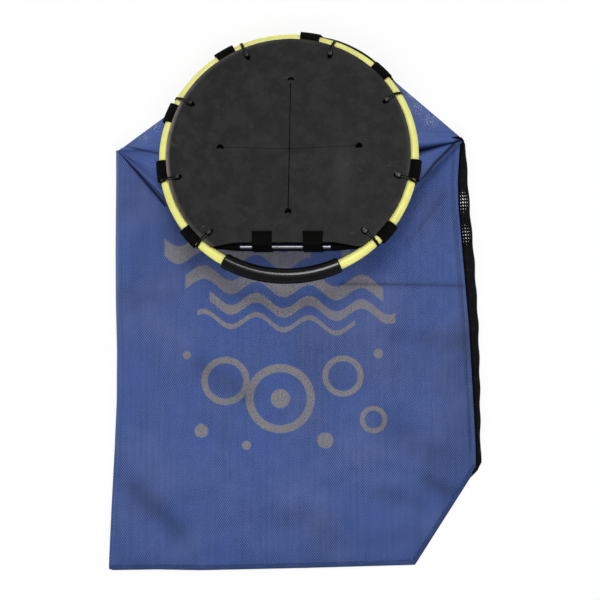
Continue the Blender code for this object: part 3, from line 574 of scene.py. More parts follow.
class Finish:
    """A material whose nodes are added one call at a time.

    Its pattern is the mesh's own pattern of places, with u and v its two parts, and its place is the
    point in space.
    """

    def __init__(self, name, roughness, specular=0.5, metallic=0.0):
        self.material = bpy.data.materials.new(name)
        self.material.use_nodes = True
        self.tree = self.material.node_tree
        self.shader = self.tree.nodes["Principled BSDF"]
        self.shader.inputs["Roughness"].default_value = roughness
        self.shader.inputs["Specular IOR Level"].default_value = specular
        self.shader.inputs["Metallic"].default_value = metallic
        self.pattern = self.add("ShaderNodeUVMap", uv_map="Pattern")
        self.place = self.add("ShaderNodeTexCoord", output="Object")
        self.u, self.v = (self.add("ShaderNodeSeparateXYZ", {0: self.pattern}, output=k) for k in (0, 1))

    def add(self, kind, inputs=None, output=0, **settings):
        """One node's output, with its settings set and its inputs given a value or joined to an output."""
        node = self.tree.nodes.new(kind)
        for key, value in settings.items():
            setattr(node, key, value)
        for key, value in (inputs or {}).items():
            if isinstance(value, Number):
                self.tree.links.new(value.socket, node.inputs[key])
            else:
                node.inputs[key].default_value = value
        return Number(self, node.outputs[output])

    def math(self, operation, a, b=0.0):
        """One operation on one or two numbers."""
        return self.add("ShaderNodeMath", {0: a, 1: b}, operation=operation)

    def root(self, a, b):
        """The length of a step by its two parts: the root of the sum of their squares."""
        return self.math("SQRT", a * a + b * b)

    def span(self, value, low, high, to_low=0.0, to_high=1.0):
        """A number's place between two others, as a smooth step from one value to another."""
        return self.add("ShaderNodeMapRange", {0: value, 1: low, 2: high, 3: to_low, 4: to_high},
                        interpolation_type="SMOOTHSTEP")

    def scaled(self, vector, scale):
        """A vector scaled on each axis."""
        return self.add("ShaderNodeMapping", {0: vector, 3: scale})

    def noise(self, vector, scale, detail=3.0, roughness=0.55):
        """Cloudy noise, 0 to 1."""
        return self.add("ShaderNodeTexNoise", {"Vector": vector, "Scale": scale, "Detail": detail,
                                               "Roughness": roughness})

    def clouds(self, scale, low, high, to_low=0.0, to_high=1.0, detail=3.0):
        """Cloudy noise in space, drawn out by a smooth step."""
        return self.span(self.noise(self.place, scale, detail), low, high, to_low, to_high)

    def value(self, name):
        """A number that the mesh holds for each point."""
        return self.add("ShaderNodeAttribute", output="Fac", attribute_name=name)

    def mix(self, share, first, second):
        """Two colours mixed by a share."""
        return self.add("ShaderNodeMix", {0: share, 6: four(first), 7: four(second)}, 2, data_type="RGBA")

    def darker(self, tone, share, depth):
        """A colour times 1 less a share of a depth."""
        kept = 1.0 - share * depth
        grey = self.add("ShaderNodeCombineColor", {0: kept, 1: kept, 2: kept})
        return self.add("ShaderNodeMix", {0: 1.0, 6: tone, 7: grey}, 2, data_type="RGBA",
                        blend_type="MULTIPLY")

    def finish(self, tone, roughness=None, bumps=()):
        """Joins the colour, the roughness and a chain of bumps to the shader."""
        self.tree.links.new(tone.socket, self.shader.inputs["Base Color"])
        if roughness is not None:
            self.tree.links.new(roughness.socket, self.shader.inputs["Roughness"])
        before = {}
        for height, distance in bumps:
            bump = {"Height": height, "Distance": distance, "Strength": 1.0}
            before = {"Normal": self.add("ShaderNodeBump", {**bump, **before})}
        if before:
            self.tree.links.new(before["Normal"].socket, self.shader.inputs["Normal"])
        return self.material


def weave_height(finish, pitch):
    """The mesh cloth's height: 0.7 times two cosines of the pattern's places multiplied, which sets the
    openings in staggered rows, plus 0.3 times the upright cosine at half the pitch."""
    turn = 2 * np.pi / pitch
    upright, level, double = (finish.math("COSINE", place * (turn * part)) for place, part in
                              ((finish.u, 1.0), (finish.v, 0.72), (finish.u, 2.0)))
    return upright * level * 0.7 + double * 0.3


def line_distance(finish, start, end):
    """How far a place of the pattern is from the straight piece between two points.

    Its run along the piece is held between 0 and 1, and the rest is the distance's root of squares.
    """
    run = np.subtract(end, start)
    share = run / (run @ run)
    along = finish.u * share[0] + finish.v * share[1] - share @ start
    held = finish.math("MINIMUM", finish.math("MAXIMUM", along, 0.0), 1.0)
    return finish.root(*[place - (held * run[k] + start[k]) for k, place in enumerate((finish.u, finish.v))])


def wave_and_bubbles(finish):
    """The front's plain pattern: slanting waves over a scatter of rings and dots.

    A wave is where the place's height, less a slope and a sine of its X, is within half the wave's
    width. A ring is where the distance from its middle is within half its width of its radius.
    """
    soft = 0.0008

    def stroke(off, half):
        return finish.span(finish.math("ABSOLUTE", off), half + soft, half - soft)

    marks = []
    for level, left, right, half in WAVES:
        line = finish.u * -0.06 + level + finish.math("SINE", finish.u * 96.0) * 0.0085
        ends = finish.span(finish.u, left, left + 0.03) * finish.span(finish.u, right, right - 0.03)
        marks.append(stroke(finish.v - line, half) * finish.span(ends, 0.30, 0.42))
    for x, y, radius, half in RINGS:
        marks.append(stroke(finish.root(finish.u - x, finish.v - y) - radius, half))
    result = marks[0]
    for mark in marks[1:]:
        result = finish.math("MAXIMUM", result, mark)
    return result


def cloth_finish(settings, printed):
    """Blue coated mesh cloth: upright rows of small openings, faded and creased in patches.

    The mesh holds two numbers: shade is painted shade that darkens folds and hollows, and sheer lightens
    spots where the openings show the table through the cloth. The neck's unprinted copy is painted lighter
    all over, as painted light for its sloping wings, and the weave's raised tops get a painted highlight.
    """
    colours = settings.colours
    cloth = Finish("printed_cloth" if printed else "mesh_cloth_painted_lighter", 0.62, 0.08)
    # The neck's cloth is painted 1.36 times lighter: painted light in place of the light its sloping wings
    # lose.
    painted_light_gain = 1.0 if printed else 1.36
    weave = weave_height(cloth, settings.sizes.weave_pitch)
    clear = cloth.clouds(13.0, 0.32, 0.66, 0.35, 1.0, detail=2.0)
    threads = 1.0 - cloth.span(weave, 0.35, -0.75) * clear
    tone = cloth.mix(threads, times(painted_light_gain, colours.cloth_gap), times(painted_light_gain, colours.cloth))
    # A painted highlight on the weave's raised tops: lighter where the weave is high.
    tone = cloth.mix(cloth.span(weave, 0.15, 0.75) * (clear * 0.85), tone, (0.118, 0.185, 0.460))
    fade = cloth.noise(cloth.place, 14.0, 4.0)
    tone = cloth.mix(cloth.span(fade, 0.38, 0.78, 0.0, 0.50), tone, (0.105, 0.140, 0.330))
    streak = cloth.noise(cloth.scaled(cloth.pattern, (260.0, 9.0, 1.0)), 1.0, 2.0)
    tone = cloth.darker(tone, cloth.span(streak, 0.40, 0.75), 0.12)
    tone = cloth.darker(tone, cloth.clouds(6.5, 0.50, 0.80, detail=2.0), 0.26)
    if printed:
        marks = wave_and_bubbles(cloth) * cloth.span(threads, 0.0, 1.0, 0.50, 0.92)
        rubbed = cloth.clouds(420.0, 0.30, 0.62, 0.55, 1.0, detail=2.0)
        tone = cloth.mix(marks * rubbed, tone, colours.stencil)
        edge = cloth.span(cloth.u, -0.2195, -0.2235) * cloth.span(cloth.v, -0.20, 0.05, 0.05, 0.60)
        tone = cloth.mix(edge, tone, colours.cloth_edge)
        # Painted shadow lines along the folds, a crease and the seam.
        for start, end, width, depth in SHADOW_LINES:
            near = line_distance(cloth, start, end) / width
            tone = cloth.darker(tone, cloth.math("EXPONENT", near * near * -1.0), depth)
    tone = cloth.darker(tone, cloth.value("shade"), 1.0)
    specks = cloth.span(cloth.noise(cloth.pattern, 620.0, 1.0), 0.56, 0.66)
    tone = cloth.mix(specks * cloth.value("sheer"), tone, (0.62, 0.66, 0.76))
    rough = cloth.clouds(60.0, 0.3, 0.7, 0.52, 0.72)
    ripple = cloth.noise(cloth.scaled(cloth.place, (1.0, 0.45, 1.0)), 38.0, 4.0)
    return cloth.finish(tone, rough, [(ripple, 0.0016), (weave, 0.0003)])


def hem_finish(settings):
    """The turned hem: the same cloth, double, and darker round its outer edge."""
    colours = settings.colours
    hem = Finish("hem_cloth", 0.65, 0.05)
    weave = weave_height(hem, settings.sizes.weave_pitch * 0.8)
    tone = hem.mix(hem.span(weave, -0.7, 0.4), times(0.55, colours.hem), colours.hem)
    tone = hem.mix(hem.span(hem.u, 0.0032, 0.0008, 0.0, 0.90), tone, times(0.54, colours.cloth))
    tone = hem.mix(hem.clouds(55.0, 0.42, 0.75, 0.0, 0.3), tone, colours.cloth)
    return hem.finish(tone, hem.clouds(90.0, 0.3, 0.7, 0.55, 0.78),
                      [(hem.noise(hem.place, 120.0, 3.0), 0.0006), (weave, 0.0002)])


def net_finish(settings):
    """Knotted black cord net: twisted strands with a little grey dust on the knots."""
    net = Finish("side_net", 0.6, 0.03)
    twist = net.math("SINE", (net.u + net.v) * 5200.0)
    dust = net.clouds(160.0, 0.50, 0.80, 0.0, 0.5)
    tone = net.mix(dust, settings.colours.net, (0.030, 0.031, 0.036))
    return net.finish(tone, net.clouds(300.0, 0.3, 0.7, 0.45, 0.75), [(twist, 0.0003)])


def webbing_finish(settings):
    """Black webbing: ribs across the tape, 1.5 mm apart, crossed by fine threads along it."""
    tape = Finish("black_webbing", 0.80, 0.03)
    ribs = tape.math("SINE", tape.v * (2 * np.pi / 0.0015))
    height = ribs + tape.math("SINE", tape.u * (2 * np.pi / 0.0008)) * 0.5
    lint = tape.clouds(230.0, 0.52, 0.80, 0.0, 0.55, detail=4.0)
    tone = tape.mix(lint, settings.colours.webbing, (0.009, 0.0085, 0.008))
    # Painted shade in the grooves: the ribs' low parts darkened by up to half.
    tone = tape.darker(tone, tape.span(height, 0.4, -1.2), 0.5)
    return tape.finish(tone, tape.clouds(140.0, 0.3, 0.7, 0.58, 0.85),
                       [(height, 0.00025), (tape.noise(tape.place, 90.0, 2.0), 0.0006)])


def hose_finish(settings):
    """Yellow hose: smooth plastic with faint cloudy tones, fine scuffs along it and dirt specks."""
    hose = Finish("yellow_hose", 0.34, 0.08)
    cloud = hose.clouds(46.0, 0.35, 0.75, 0.0, 0.65, detail=4.0)
    tone = hose.mix(cloud, settings.colours.hose, (0.660, 0.640, 0.165))
    scuff = hose.noise(hose.scaled(hose.pattern, (420.0, 60.0, 1.0)), 1.0, 4.0, 0.7)
    tone = hose.darker(tone, hose.span(scuff, 0.62, 0.80), 0.18)
    tone = hose.darker(tone, hose.clouds(900.0, 0.72, 0.80, detail=1.0), 0.35)
    return hose.finish(tone, hose.span(scuff, 0.35, 0.75, 0.26, 0.50),
                       [(hose.noise(hose.place, 120.0, 3.0), 0.00035)])


def grip_finish(settings):
    """Glossy black grip: smooth moulded plastic with fine scratches along it."""
    grip = Finish("black_grip", 0.20, 0.09)
    scratch = grip.noise(grip.scaled(grip.pattern, (30.0, 900.0, 1.0)), 1.0, 4.0, 0.65)
    tone = grip.mix(grip.span(scratch, 0.60, 0.82, 0.0, 0.35), settings.colours.grip, (0.010, 0.010, 0.011))
    return grip.finish(tone, grip.span(scratch, 0.35, 0.80, 0.15, 0.26),
                       [(grip.noise(grip.place, 60.0, 2.0), 0.0001)])


def rubber_finish(settings):
    """Black rubber sheet: matt, cloudy and scratched, rubbed pale in a band on its right and along its
    round rim on the left.

    Its pattern's places are the hoop's own X and Y, so the sheet and its leaves read as one.
    """
    colours = settings.colours
    rubber = Finish("black_rubber", 0.6, 0.03)
    u, v = rubber.u, rubber.v
    cloud = rubber.noise(rubber.pattern, 38.0, 5.0, 0.6)
    tone = rubber.mix(rubber.span(cloud, 0.40, 0.62), times(0.60, colours.rubber), times(1.8, colours.rubber))
    across, along = (u - 0.066) / 0.012, (v + 0.018) / 0.034
    band = rubber.math("EXPONENT", (across * across + along * along) * -1.0)
    tone = rubber.mix(band * 0.45, tone, (0.040, 0.039, 0.042))
    spots = rubber.noise(rubber.pattern, 95.0, 5.0, 0.65)
    tone = rubber.mix(rubber.span(spots, 0.52, 0.78, 0.0, 0.5), tone, (0.036, 0.035, 0.034))
    grain = rubber.noise(rubber.pattern, 520.0, 2.0)
    tone = rubber.darker(tone, rubber.span(grain, 0.45, 0.70), 0.35)
    for turn, bend in ((0.6, 9.0), (-0.35, 14.0), (1.45, 11.0)):
        turned = rubber.add("ShaderNodeMapping", {0: rubber.pattern, 2: (0.0, 0.0, turn)})
        lines = rubber.noise(rubber.scaled(turned, (bend * 3.0, 460.0, 1.0)), 1.0, 2.0, 0.6)
        some = rubber.span(rubber.noise(rubber.pattern, bend * 1.9, 1.0), 0.63, 0.74)
        tone = rubber.mix(rubber.span(lines, 0.61, 0.71, 0.0, 0.6) * some, tone, (0.098, 0.095, 0.090))
    rim = rubber.span(rubber.root(u, v), 0.1432, 0.1486)
    left = rubber.span(u, 0.06, -0.09, 0.16, 1.0) * rubber.span(v, 0.115, 0.03, 0.30, 1.0)
    left = left * rubber.span(v, -0.09, 0.01, 0.30, 1.0)
    patchy = rubber.span(rubber.noise(rubber.pattern, 60.0, 4.0), 0.25, 0.65, 0.45, 1.0)
    tone = rubber.mix(rim * left * patchy, tone, colours.rubber_worn)
    return rubber.finish(tone, rubber.span(cloud, 0.3, 0.75, 0.48, 0.68),
                         [(rubber.noise(rubber.pattern, 24.0, 2.0), 0.0012),
                          (rubber.noise(rubber.pattern, 900.0, 2.0), 0.00006)])


def tie_finish(settings):
    """Black nylon tie: glossy, with the fine teeth that run across its strap."""
    tie = Finish("black_tie", 0.24, 0.04)
    teeth = tie.math("SINE", tie.v * (2 * np.pi / 0.0012))
    dust = tie.clouds(500.0, 0.5, 0.8, 0.0, 0.4, detail=2.0)
    tone = tie.mix(dust, settings.colours.tie, (0.008, 0.008, 0.009))
    return tie.finish(tone, tie.clouds(260.0, 0.3, 0.7, 0.15, 0.30), [(teeth, 0.00006)])


def steel_finish(settings):
    """Bright drawn rod: grey metal with lines drawn along it and darker salt spots."""
    steel = Finish("steel_rod", 0.5, metallic=1.0)
    drawn = steel.noise(steel.scaled(steel.pattern, (900.0, 25.0, 1.0)), 1.0, 3.0)
    spots = steel.clouds(130.0, 0.52, 0.74, 0.0, 0.8, detail=4.0)
    tone = steel.mix(spots, settings.colours.steel, (0.070, 0.070, 0.074))
    return steel.finish(tone, steel.span(drawn, 0.3, 0.8, 0.42, 0.60), [(drawn, 0.00005)])


def thread_finish(settings):
    """Sewing thread: dark blue, slightly worn."""
    thread = Finish("sewing_thread", 0.6, 0.1)
    worn = thread.clouds(300.0, 0.4, 0.7, detail=2.0)
    return thread.finish(thread.mix(worn, (0.020, 0.026, 0.055), (0.060, 0.075, 0.150)))


FINISHES = {}


def finish_of(settings, maker, **choices):
    """A finish that several pieces share, made once."""
    key = maker.__name__ + "".join("_%s" % v for v in choices.values())
    if key not in FINISHES:
        FINISHES[key] = maker(settings, **choices)
    return FINISHES[key]


# ---------------------------------------------------------------- the pieces' shapes

def front_side(y):
    """The front's left and right edges at a height along the bag, from the outline's own points."""
    return read(LEFT_LINE, y), read(RIGHT_LINE, y)


def hem_distance(x, y):
    """The distance in plan from the hem's straight line and its slanting corner, whichever is nearer."""
    return np.minimum(*[segment_distance(x, y, start, end) for start, end in zip(HEM[:-1], HEM[1:])])


def beside(x, y, start, end, width):
    """A bell curve of the distance in plan from the straight piece between two points."""
    return hump(segment_distance(x, y, start, end), 0, width)


def sagged(grid):
    """Places of the bag with their lower part hung down to the hem's own line, in a smooth step."""
    start, depth = -0.24, 0.07
    hung = read(HEM_SAG, grid[..., 0]) * ease((start - grid[..., 1]) / depth)
    return stack(grid[..., 0], grid[..., 1] - hung, grid[..., 2])


def front_surface(x, y, height):
    """The front's height: it climbs from the hem as 1 less e to the minus distance over 34 mm, meets the
    fold in a smooth step, and adds slow sines, the creases' hollows and the ridges. It falls towards both
    sides by e to the minus distance, and a seam rises beside the net."""
    climb = 1 - np.exp(-hem_distance(x, y) / 0.034)
    z = HEM_HEIGHT + (height - HEM_HEIGHT) * climb
    for a, b, shift, size in SWELLS:
        z = z + size * np.sin(a * x + b * y + shift) * climb
    for start, end, width, depth, _ in CREASES:
        z = z - depth * beside(x, y, start, end, width) * climb
    for start, end, width, rise in RIDGES:
        z = z + rise * beside(x, y, start, end, width) * climb
    left, right = front_side(y)
    z = z - 0.0022 * np.exp(-(x - left) / 0.006) - 0.0014 * np.exp(-(right - x) / 0.007)
    z = z + 0.0006 * hump(right - x, 0.0062, 0.0009)
    fold = FOLD_MIDDLE[1] + FOLD_SLOPE * (x - FOLD_MIDDLE[0])
    return z + (SHOULDER_LEFT[2] - z) * ease((y - fold + 0.042) / 0.042)


def shaded(shade, *more):
    """A shade with others laid over it: the light that each lets through is multiplied."""
    for each in more:
        shade = 1 - (1 - shade) * (1 - each)
    return shade


def front_shade(x, y):
    """How much painted shade the front gets: in the creases' bell curves, near the hem and beside the seam.
    """
    creases = [dark * beside(x, y, start, end, width) for start, end, width, _, dark in CREASES]
    hem = 0.16 * np.exp(-hem_distance(x, y) / 0.020)
    seam = 0.30 * hump(read(RIGHT_LINE, y) - x, 0.0085, 0.0010)
    return shaded(0 * x, *creases, hem, seam)


def inside(shade, grid):
    """The shade of the cloth's inner side: 0.55 more in a smooth step from 20 to 100 mm up the bag."""
    return shaded(shade, 0.55 * ease((grid[..., 1] - 0.02) / 0.08))


def bag_shell(settings):
    """The bag's cloth as one surface: the front from right to left, round the left edge, and the back.

    Every column runs straight in plan from the hem (row 0) to the fold or, on the back, to the neck's
    foot (last row). The left edge is half an ellipse that joins the front's height to the back's.
    """
    rows, columns = settings.steps.bag_along, settings.steps.bag_across
    share, across = np.linspace(0, 1, rows)[:, None], np.linspace(0, 1, columns)
    x_top = SHOULDER_RIGHT[0] - 0.0050 + (SHOULDER_LEFT[0] - SHOULDER_RIGHT[0] + 0.0052) * across
    x_low = HEM_CORNER[0] + (HEM_LEFT[0] - HEM_CORNER[0]) * across
    y_low = read(HEM, x_low)
    y_top = FOLD_MIDDLE[1] + FOLD_SLOPE * (x_top - FOLD_MIDDLE[0])
    y = y_low + (y_top - y_low) * share
    left, right = front_side(y)
    straight = x_low + (x_top - x_low) * share
    first, last = straight[:, :1], straight[:, -1:]
    x = left + (straight - last) / (first - last) * (right - left)
    front = stack(x, y, front_surface(x, y, settings.sizes.bag_height))

    turn = np.linspace(0, np.pi, 14)[1:-1]
    edge = front[:, -1:]
    middle = (edge[..., 2] + BACK_HEIGHT) / 2
    round_edge = stack(edge[..., 0] - 0.0022 * np.sin(turn), edge[..., 1],
                       middle + (edge[..., 2] - middle) * np.cos(turn))

    along = np.linspace(0, 1, 70)
    top = neck_foot(np.linspace(LEFT_END, 1 - RIGHT_END, 70))[:, :2]
    top = top + 0.0012 * unit(top - HOOP_MIDDLE[:2])
    low_x = HEM_LEFT[0] + (HEM_CORNER[0] - HEM_LEFT[0]) * along
    low = stack(low_x, read(HEM, low_x))
    plan = low + (top - low) * share[..., None]
    left, right = front_side(plan[..., 1])
    within = np.clip(plan[..., 0], left, np.where(plan[..., 1] < SHOULDER_RIGHT[1], right, 1.0))
    grid = np.concatenate([front, round_edge, stack(within, plan[..., 1], BACK_HEIGHT)], 1)

    middle_row = grid[rows // 2, columns - 1:]
    u = np.concatenate([np.zeros(columns - 1), middle_row[0, 0] - reach_along(middle_row)])
    uv = stack(u[None], grid[..., 1])
    uv[:, :columns, 0] = x
    shade = 0 * grid[..., 0]
    shade[:, :columns] = front_shade(x, y)
    return sagged(grid), uv, shade


def neck_surface(settings, start, end, side):
    """One piece of the neck between two shares of the mouth's edge.

    Each ruling runs from under the mouth to the foot, straight in plan. On the front piece its height falls
    with a power of the way left, 1 more than 2.2 times a squared half sine over the piece, so that pieces
    meet on straight rulings. The left wing's height has a slow sine and a crease, none at the rulings'
    ends. On the right wing a valley sinks by a bell curve of the share between two banks, deepest beside
    the hose and none at the shoulder. The foot lies on a small arc round each shoulder, not on one point.
    """
    columns, close = settings.steps.neck_along, 40
    shares = np.linspace(start, end, columns)
    if side == "right":
        shares = np.sort(np.concatenate([np.linspace(start, end, columns - close),
                                         np.linspace(0.727, 0.758, close + 2)[1:-1]]))
    down = np.linspace(0, 1, settings.steps.neck_down)[:, None]
    top = from_hoop(mouth(shares, -tucked(shares), NECK_UP))
    foot = neck_foot(shares)
    off = 0.0016 * unit(top[:, :2] - foot[:, :2])
    from_shoulder = [np.linalg.norm(foot[:, :2] - place[:2], axis=1)
                     for place in (SHOULDER_LEFT, SHOULDER_RIGHT)]
    foot[:, :2] += np.where((np.minimum(*from_shoulder) < ROUND_SHOULDER)[:, None], off, 0)
    grid = top + (foot - top) * down[..., None]
    x, y = grid[..., 0], grid[..., 1]
    shade = 0 * x
    if side == "front":
        power = 1 + 2.2 * np.sin(np.pi * (shares - start) / (end - start)) ** 2
        grid[..., 2] = foot[:, 2] + (top[:, 2] - foot[:, 2]) * (1 - down) ** power
        # Painted shade along the piece's two folded edges.
        shade += 0.55 * np.maximum(hump(shares, start, 0.004), hump(shares, end, 0.004))
    elif side == "left":
        free = np.sin(np.pi * down) * ease((shares - start) / 0.03) * ease((0.42 - shares) / 0.06)
        crease = hump(shares, CREASE, 0.0028) * ease(down / 0.1) * ease((1 - down) / 0.15)
        grid[..., 2] += free * 0.0022 * np.sin(150 * (shares - start)) - 0.0022 * crease
        # Painted shade: a little in the crease, a painted shadow line along the wing's fold, and a dark line
        # at its folded edge.
        fold = beside(x, y, *LEFT_FOLD, 0.0013)
        shade = np.maximum(np.maximum(0.16 * crease, 0.80 * fold), 0.94 * hump(shares, start, 0.0024))
    else:
        open_way = ease(down / 0.06) * (1 - down) ** 0.8
        banks = sum(rise * hump(shares, place, 0.006) for place, rise in BANKS)
        grid[..., 2] += (banks - VALLEY_DEPTH * hump(shares, VALLEY, 0.0052)) * open_way
        # Painted shade: near black down the valley, a painted shadow line along the long fold, and beyond the
        # fold a little painted shade that evens out the neck's lighter paint.
        dark = hump(shares, VALLEY, 0.0037) * ease(down / 0.02) * ease((1 - down) / 0.08)
        past = x - read(RIGHT_FOLD[::-1, ::-1], y)
        shade = np.maximum(0.97 * dark * (1 - 0.25 * down), 0.20 * ease(past / 0.003))
        for a, b in zip(RIGHT_FOLD[:-1], RIGHT_FOLD[1:]):
            shade = np.maximum(shade, 0.94 * beside(x, y, a, b, 0.0020))
    sheer = sum((hump(np.hypot(x - a, y - b), 0, width) for a, b, width in WORN_SPOTS[side]), 0 * x)
    lengths = np.linalg.norm(np.diff(grid, axis=0), axis=-1).cumsum(0)
    v = np.concatenate([0 * shares[None], lengths])
    return grid, stack((shares * MOUTH_EDGE)[None], -v), shade, np.clip(sheer, 0, 1)


def net_strip(settings):
    """The side net's grid of cells, each with a diamond hole.

    The strip runs up the bag's right side. Across, it is half an ellipse from the front's edge out to the
    net's own outline and back to the bag's back. Each cell has its four corners, its four edge middles
    and the four points of a hole inside, joined by four five-sided faces.
    """
    low, high = NET_OUTER[0, 0], NET_OUTER[-1, 0]
    rows, columns = int((high - low) / settings.sizes.net_pitch / 2) * 2, 12

    def place(i, j):
        along = low + (high - low) * i / rows
        turn = np.pi * j / columns
        inner = np.minimum(read(RIGHT_LINE, along), read(HEM[1:, ::-1], along)) - 0.0012
        outer = np.maximum(read(NET_OUTER, along), inner + 0.001)
        top = front_surface(inner - 0.002, along, settings.sizes.bag_height) + 0.0002
        middle, half = (top + BACK_HEIGHT) / 2, (top - BACK_HEIGHT) / 2
        wide = outer - inner + 0.0005 * np.sin(along * 160) * np.sin(turn)
        return stack(inner + wide * np.sin(turn) ** 0.8, along, middle + half * np.cos(turn))

    def number(di, dj):
        return (2 * ci + di) * (2 * columns + 1) + (2 * cj + dj)

    i, j = np.meshgrid(np.arange(0, 2 * rows + 1) / 2, np.arange(0, 2 * columns + 1) / 2, indexing="ij")
    lattice = place(i, j).reshape(-1, 3)
    ci, cj = (a.reshape(-1) for a in np.meshgrid(np.arange(rows), np.arange(columns), indexing="ij"))
    along = low + (high - low) * (ci + 0.5) / rows
    hole = 0.07 + 0.41 * hump(along, 0.126, 0.018) + 0.36 * hump(along, 0.084, 0.016)
    corners = np.stack([place(ci + 0.5 + a * hole, cj + 0.5 + b * hole)
                        for a, b in ((-1, 0), (0, 1), (1, 0), (0, -1))], 1)
    south, east, north, west = (len(lattice) + np.arange(len(ci))[:, None] * 4 + np.arange(4)).T
    faces = np.concatenate([np.stack(f, -1) for f in (
        (number(0, 1), number(0, 2), number(1, 2), east, south),
        (number(1, 2), number(2, 2), number(2, 1), north, east),
        (number(2, 1), number(2, 0), number(1, 0), west, north),
        (number(1, 0), number(0, 0), number(0, 1), south, west))])[:, ::-1]
    points = np.concatenate([lattice, corners.reshape(-1, 3)])
    return points, [faces], [points[faces, :2]]


def net_edge(settings):
    """The net's rolled edge: a bar along the front's right side, and another over the shoulder's corner,
    whose radius is the root of a half sine along it."""
    turn = round_turn(10)
    along = np.linspace(HEM_CORNER[1], NET_OUTER[-1, 0], 200)
    _, right = front_side(along)
    high = front_surface(right - 0.003, along, settings.sizes.bag_height) + 0.0004
    size = 0.0011 + 0.0002 * np.sin(along * 900)
    roll = stack((right + 0.0004)[:, None] + size[:, None] * np.cos(turn), along[:, None],
                 high[:, None] + size[:, None] * np.sin(turn))
    over = smooth_path(np.array([(0.2046, 0.182, 0.0158), (0.2062, 0.192, 0.0166), (0.2068, 0.1985, 0.0178),
                                 (0.2048, 0.2025, 0.0188), (0.2000, 0.2042, 0.0196), (0.1945, 0.2036, 0.0204),
                                 (0.1895, 0.2024, 0.0216)]), 60)
    size = np.sin(np.linspace(0.15, np.pi - 0.15, 60))[:, None] ** 0.5 * 0.0018
    run = np.gradient(over, axis=0)
    side = unit(stack(-run[:, 1], run[:, 0]))[:, None] * size[..., None] * np.cos(turn)[:, None]
    cap = stack(over[:, :1] + side[..., 0], over[:, 1:2] + side[..., 1], over[:, 2:] + size * np.sin(turn))
    return [plain_bar(roll, 0.40, 0.007), plain_bar(cap, 0.03, 0.011)]


def hem_band(settings):
    """The turned hem along the bottom and up the slanting corner.

    Its path is the hem's outline. Its section is a flat loop round the cloth's edge: from the front's
    surface out round a half circle to the back's, and in again on the inside.
    """
    low, corner, high = HEM_LEFT + (0.0012, 0), HEM_RIGHT, HEM_CORNER
    first = np.linspace(0, 1, 90)[:, None]
    line = np.concatenate([low + (corner - low) * first[:-1], corner + (high - corner) * first])
    run = unit(np.gradient(line, axis=0))
    soft = [np.convolve(np.pad(run[:, k], 2, mode="edge"), np.ones(5) / 5, "valid") for k in (0, 1)]
    out = unit(stack(soft[1], -soft[0]))
    turn = np.linspace(0, np.pi, 9)
    flat = -settings.sizes.hem_width * np.array([1.0, 0.6, 0.25])
    section_out = np.concatenate([flat, 0.0006 * np.sin(turn), flat[::-1]])
    rise = np.concatenate([[1.0, 1.0, 1.0], (1 + np.cos(turn)) / 2, [0.0, 0.0, 0.0]])
    place = line[:, None] + out[:, None] * section_out[:, None]
    s = np.arange(len(line))[:, None]
    top = front_surface(place[..., 0], place[..., 1], settings.sizes.bag_height) + 0.0007 \
        + 0.0003 * np.sin(s * 0.9) + 0.0002 * np.sin(s * 0.37 + 1)
    bottom = BACK_HEIGHT - 0.0006
    grid = sagged(stack(place[..., 0], place[..., 1], bottom + (top - bottom) * rise))
    return grid, even_uv(*grid.shape[:2], 0.55, 0.014)


def seam_path(kind, settings):
    """A seam's line on the bag's front: along the hem, down the left edge or beside the net."""
    if kind == "hem":
        t = np.linspace(0, 1, 400)[:, None]
        low, corner, top = HEM + [(0.006, 0.0056), (-0.004, 0.0056), (-0.0068, -0.001)]
        x, y = np.concatenate([low + (corner - low) * t[:-1], corner + (top - corner) * t[::2]]).T
    elif kind == "left":
        y = np.linspace(-0.318, 0.150, 700)
        x = read(LEFT_LINE, y) + 0.0052
    else:
        y = np.linspace(-0.190, 0.185, 700)
        x = read(RIGHT_LINE, y) - 0.0062
    sizes = settings.sizes
    return sagged(stack(x, y, front_surface(x, y, sizes.bag_height) + sizes.cloth_thickness / 2))


def stitches(path):
    """Sewn stitches along a path: each a short bar of five rings with six sides that swells in its middle.

    A ring's middle is the path's point at its length, raised by a half sine over the stitch, and its
    radius is the thread's radius times the root of that half sine.
    """
    rings, sides = 5, 6
    reach = reach_along(path)
    starts = np.arange(0.002, reach[-1] - STITCH, STITCH + STITCH_GAP)
    part = np.linspace(0.04, 0.96, rings)
    at = starts[:, None] + STITCH * part
    middle = np.stack([np.interp(at, reach, path[:, k]) for k in range(3)], -1)
    swell = np.sin(np.pi * part)
    middle[..., 2] += 0.6 * THREAD * (swell - 0.6)
    along = unit(middle[:, -1] - middle[:, 0])
    side = unit(np.cross(along, [0, 0, 1.0]))
    turn = round_turn(sides)[:, None]
    ring = side[:, None, None] * np.cos(turn) + np.cross(side, along)[:, None, None] * np.sin(turn)
    points = middle[:, :, None] + (THREAD * np.sqrt(swell))[None, :, None, None] * ring
    shift = np.arange(len(starts))[:, None, None] * rings * sides
    quads = (grid_faces(rings, sides, close_columns=True)[0][None] + shift).reshape(-1, 4)
    ends = np.stack([np.arange(sides)[::-1], np.arange(sides) + (rings - 1) * sides])
    faces = [quads[:, ::-1], (ends[None] + shift).reshape(-1, sides)[:, ::-1]]
    return points.reshape(-1, 3), faces, [np.zeros(face.shape + (2,)) for face in faces]


def ring_bar(angles, radii, sides):
    """A bar along the hoop's circle with a radius for each angle: a circle of each radius carried round."""
    turn, way = round_turn(sides), circle(angles)[:, None]
    reach = HOOP_RADIUS + radii[:, None] * np.cos(turn)
    rings = stack(reach * way[..., 0], reach * way[..., 1], radii[:, None] * np.sin(turn))
    uv = stack(np.linspace(0, 2 * np.pi * radii.max(), sides + 1)[None], (angles * HOOP_RADIUS)[:, None])
    return rod_patch(from_hoop(rings), uv)


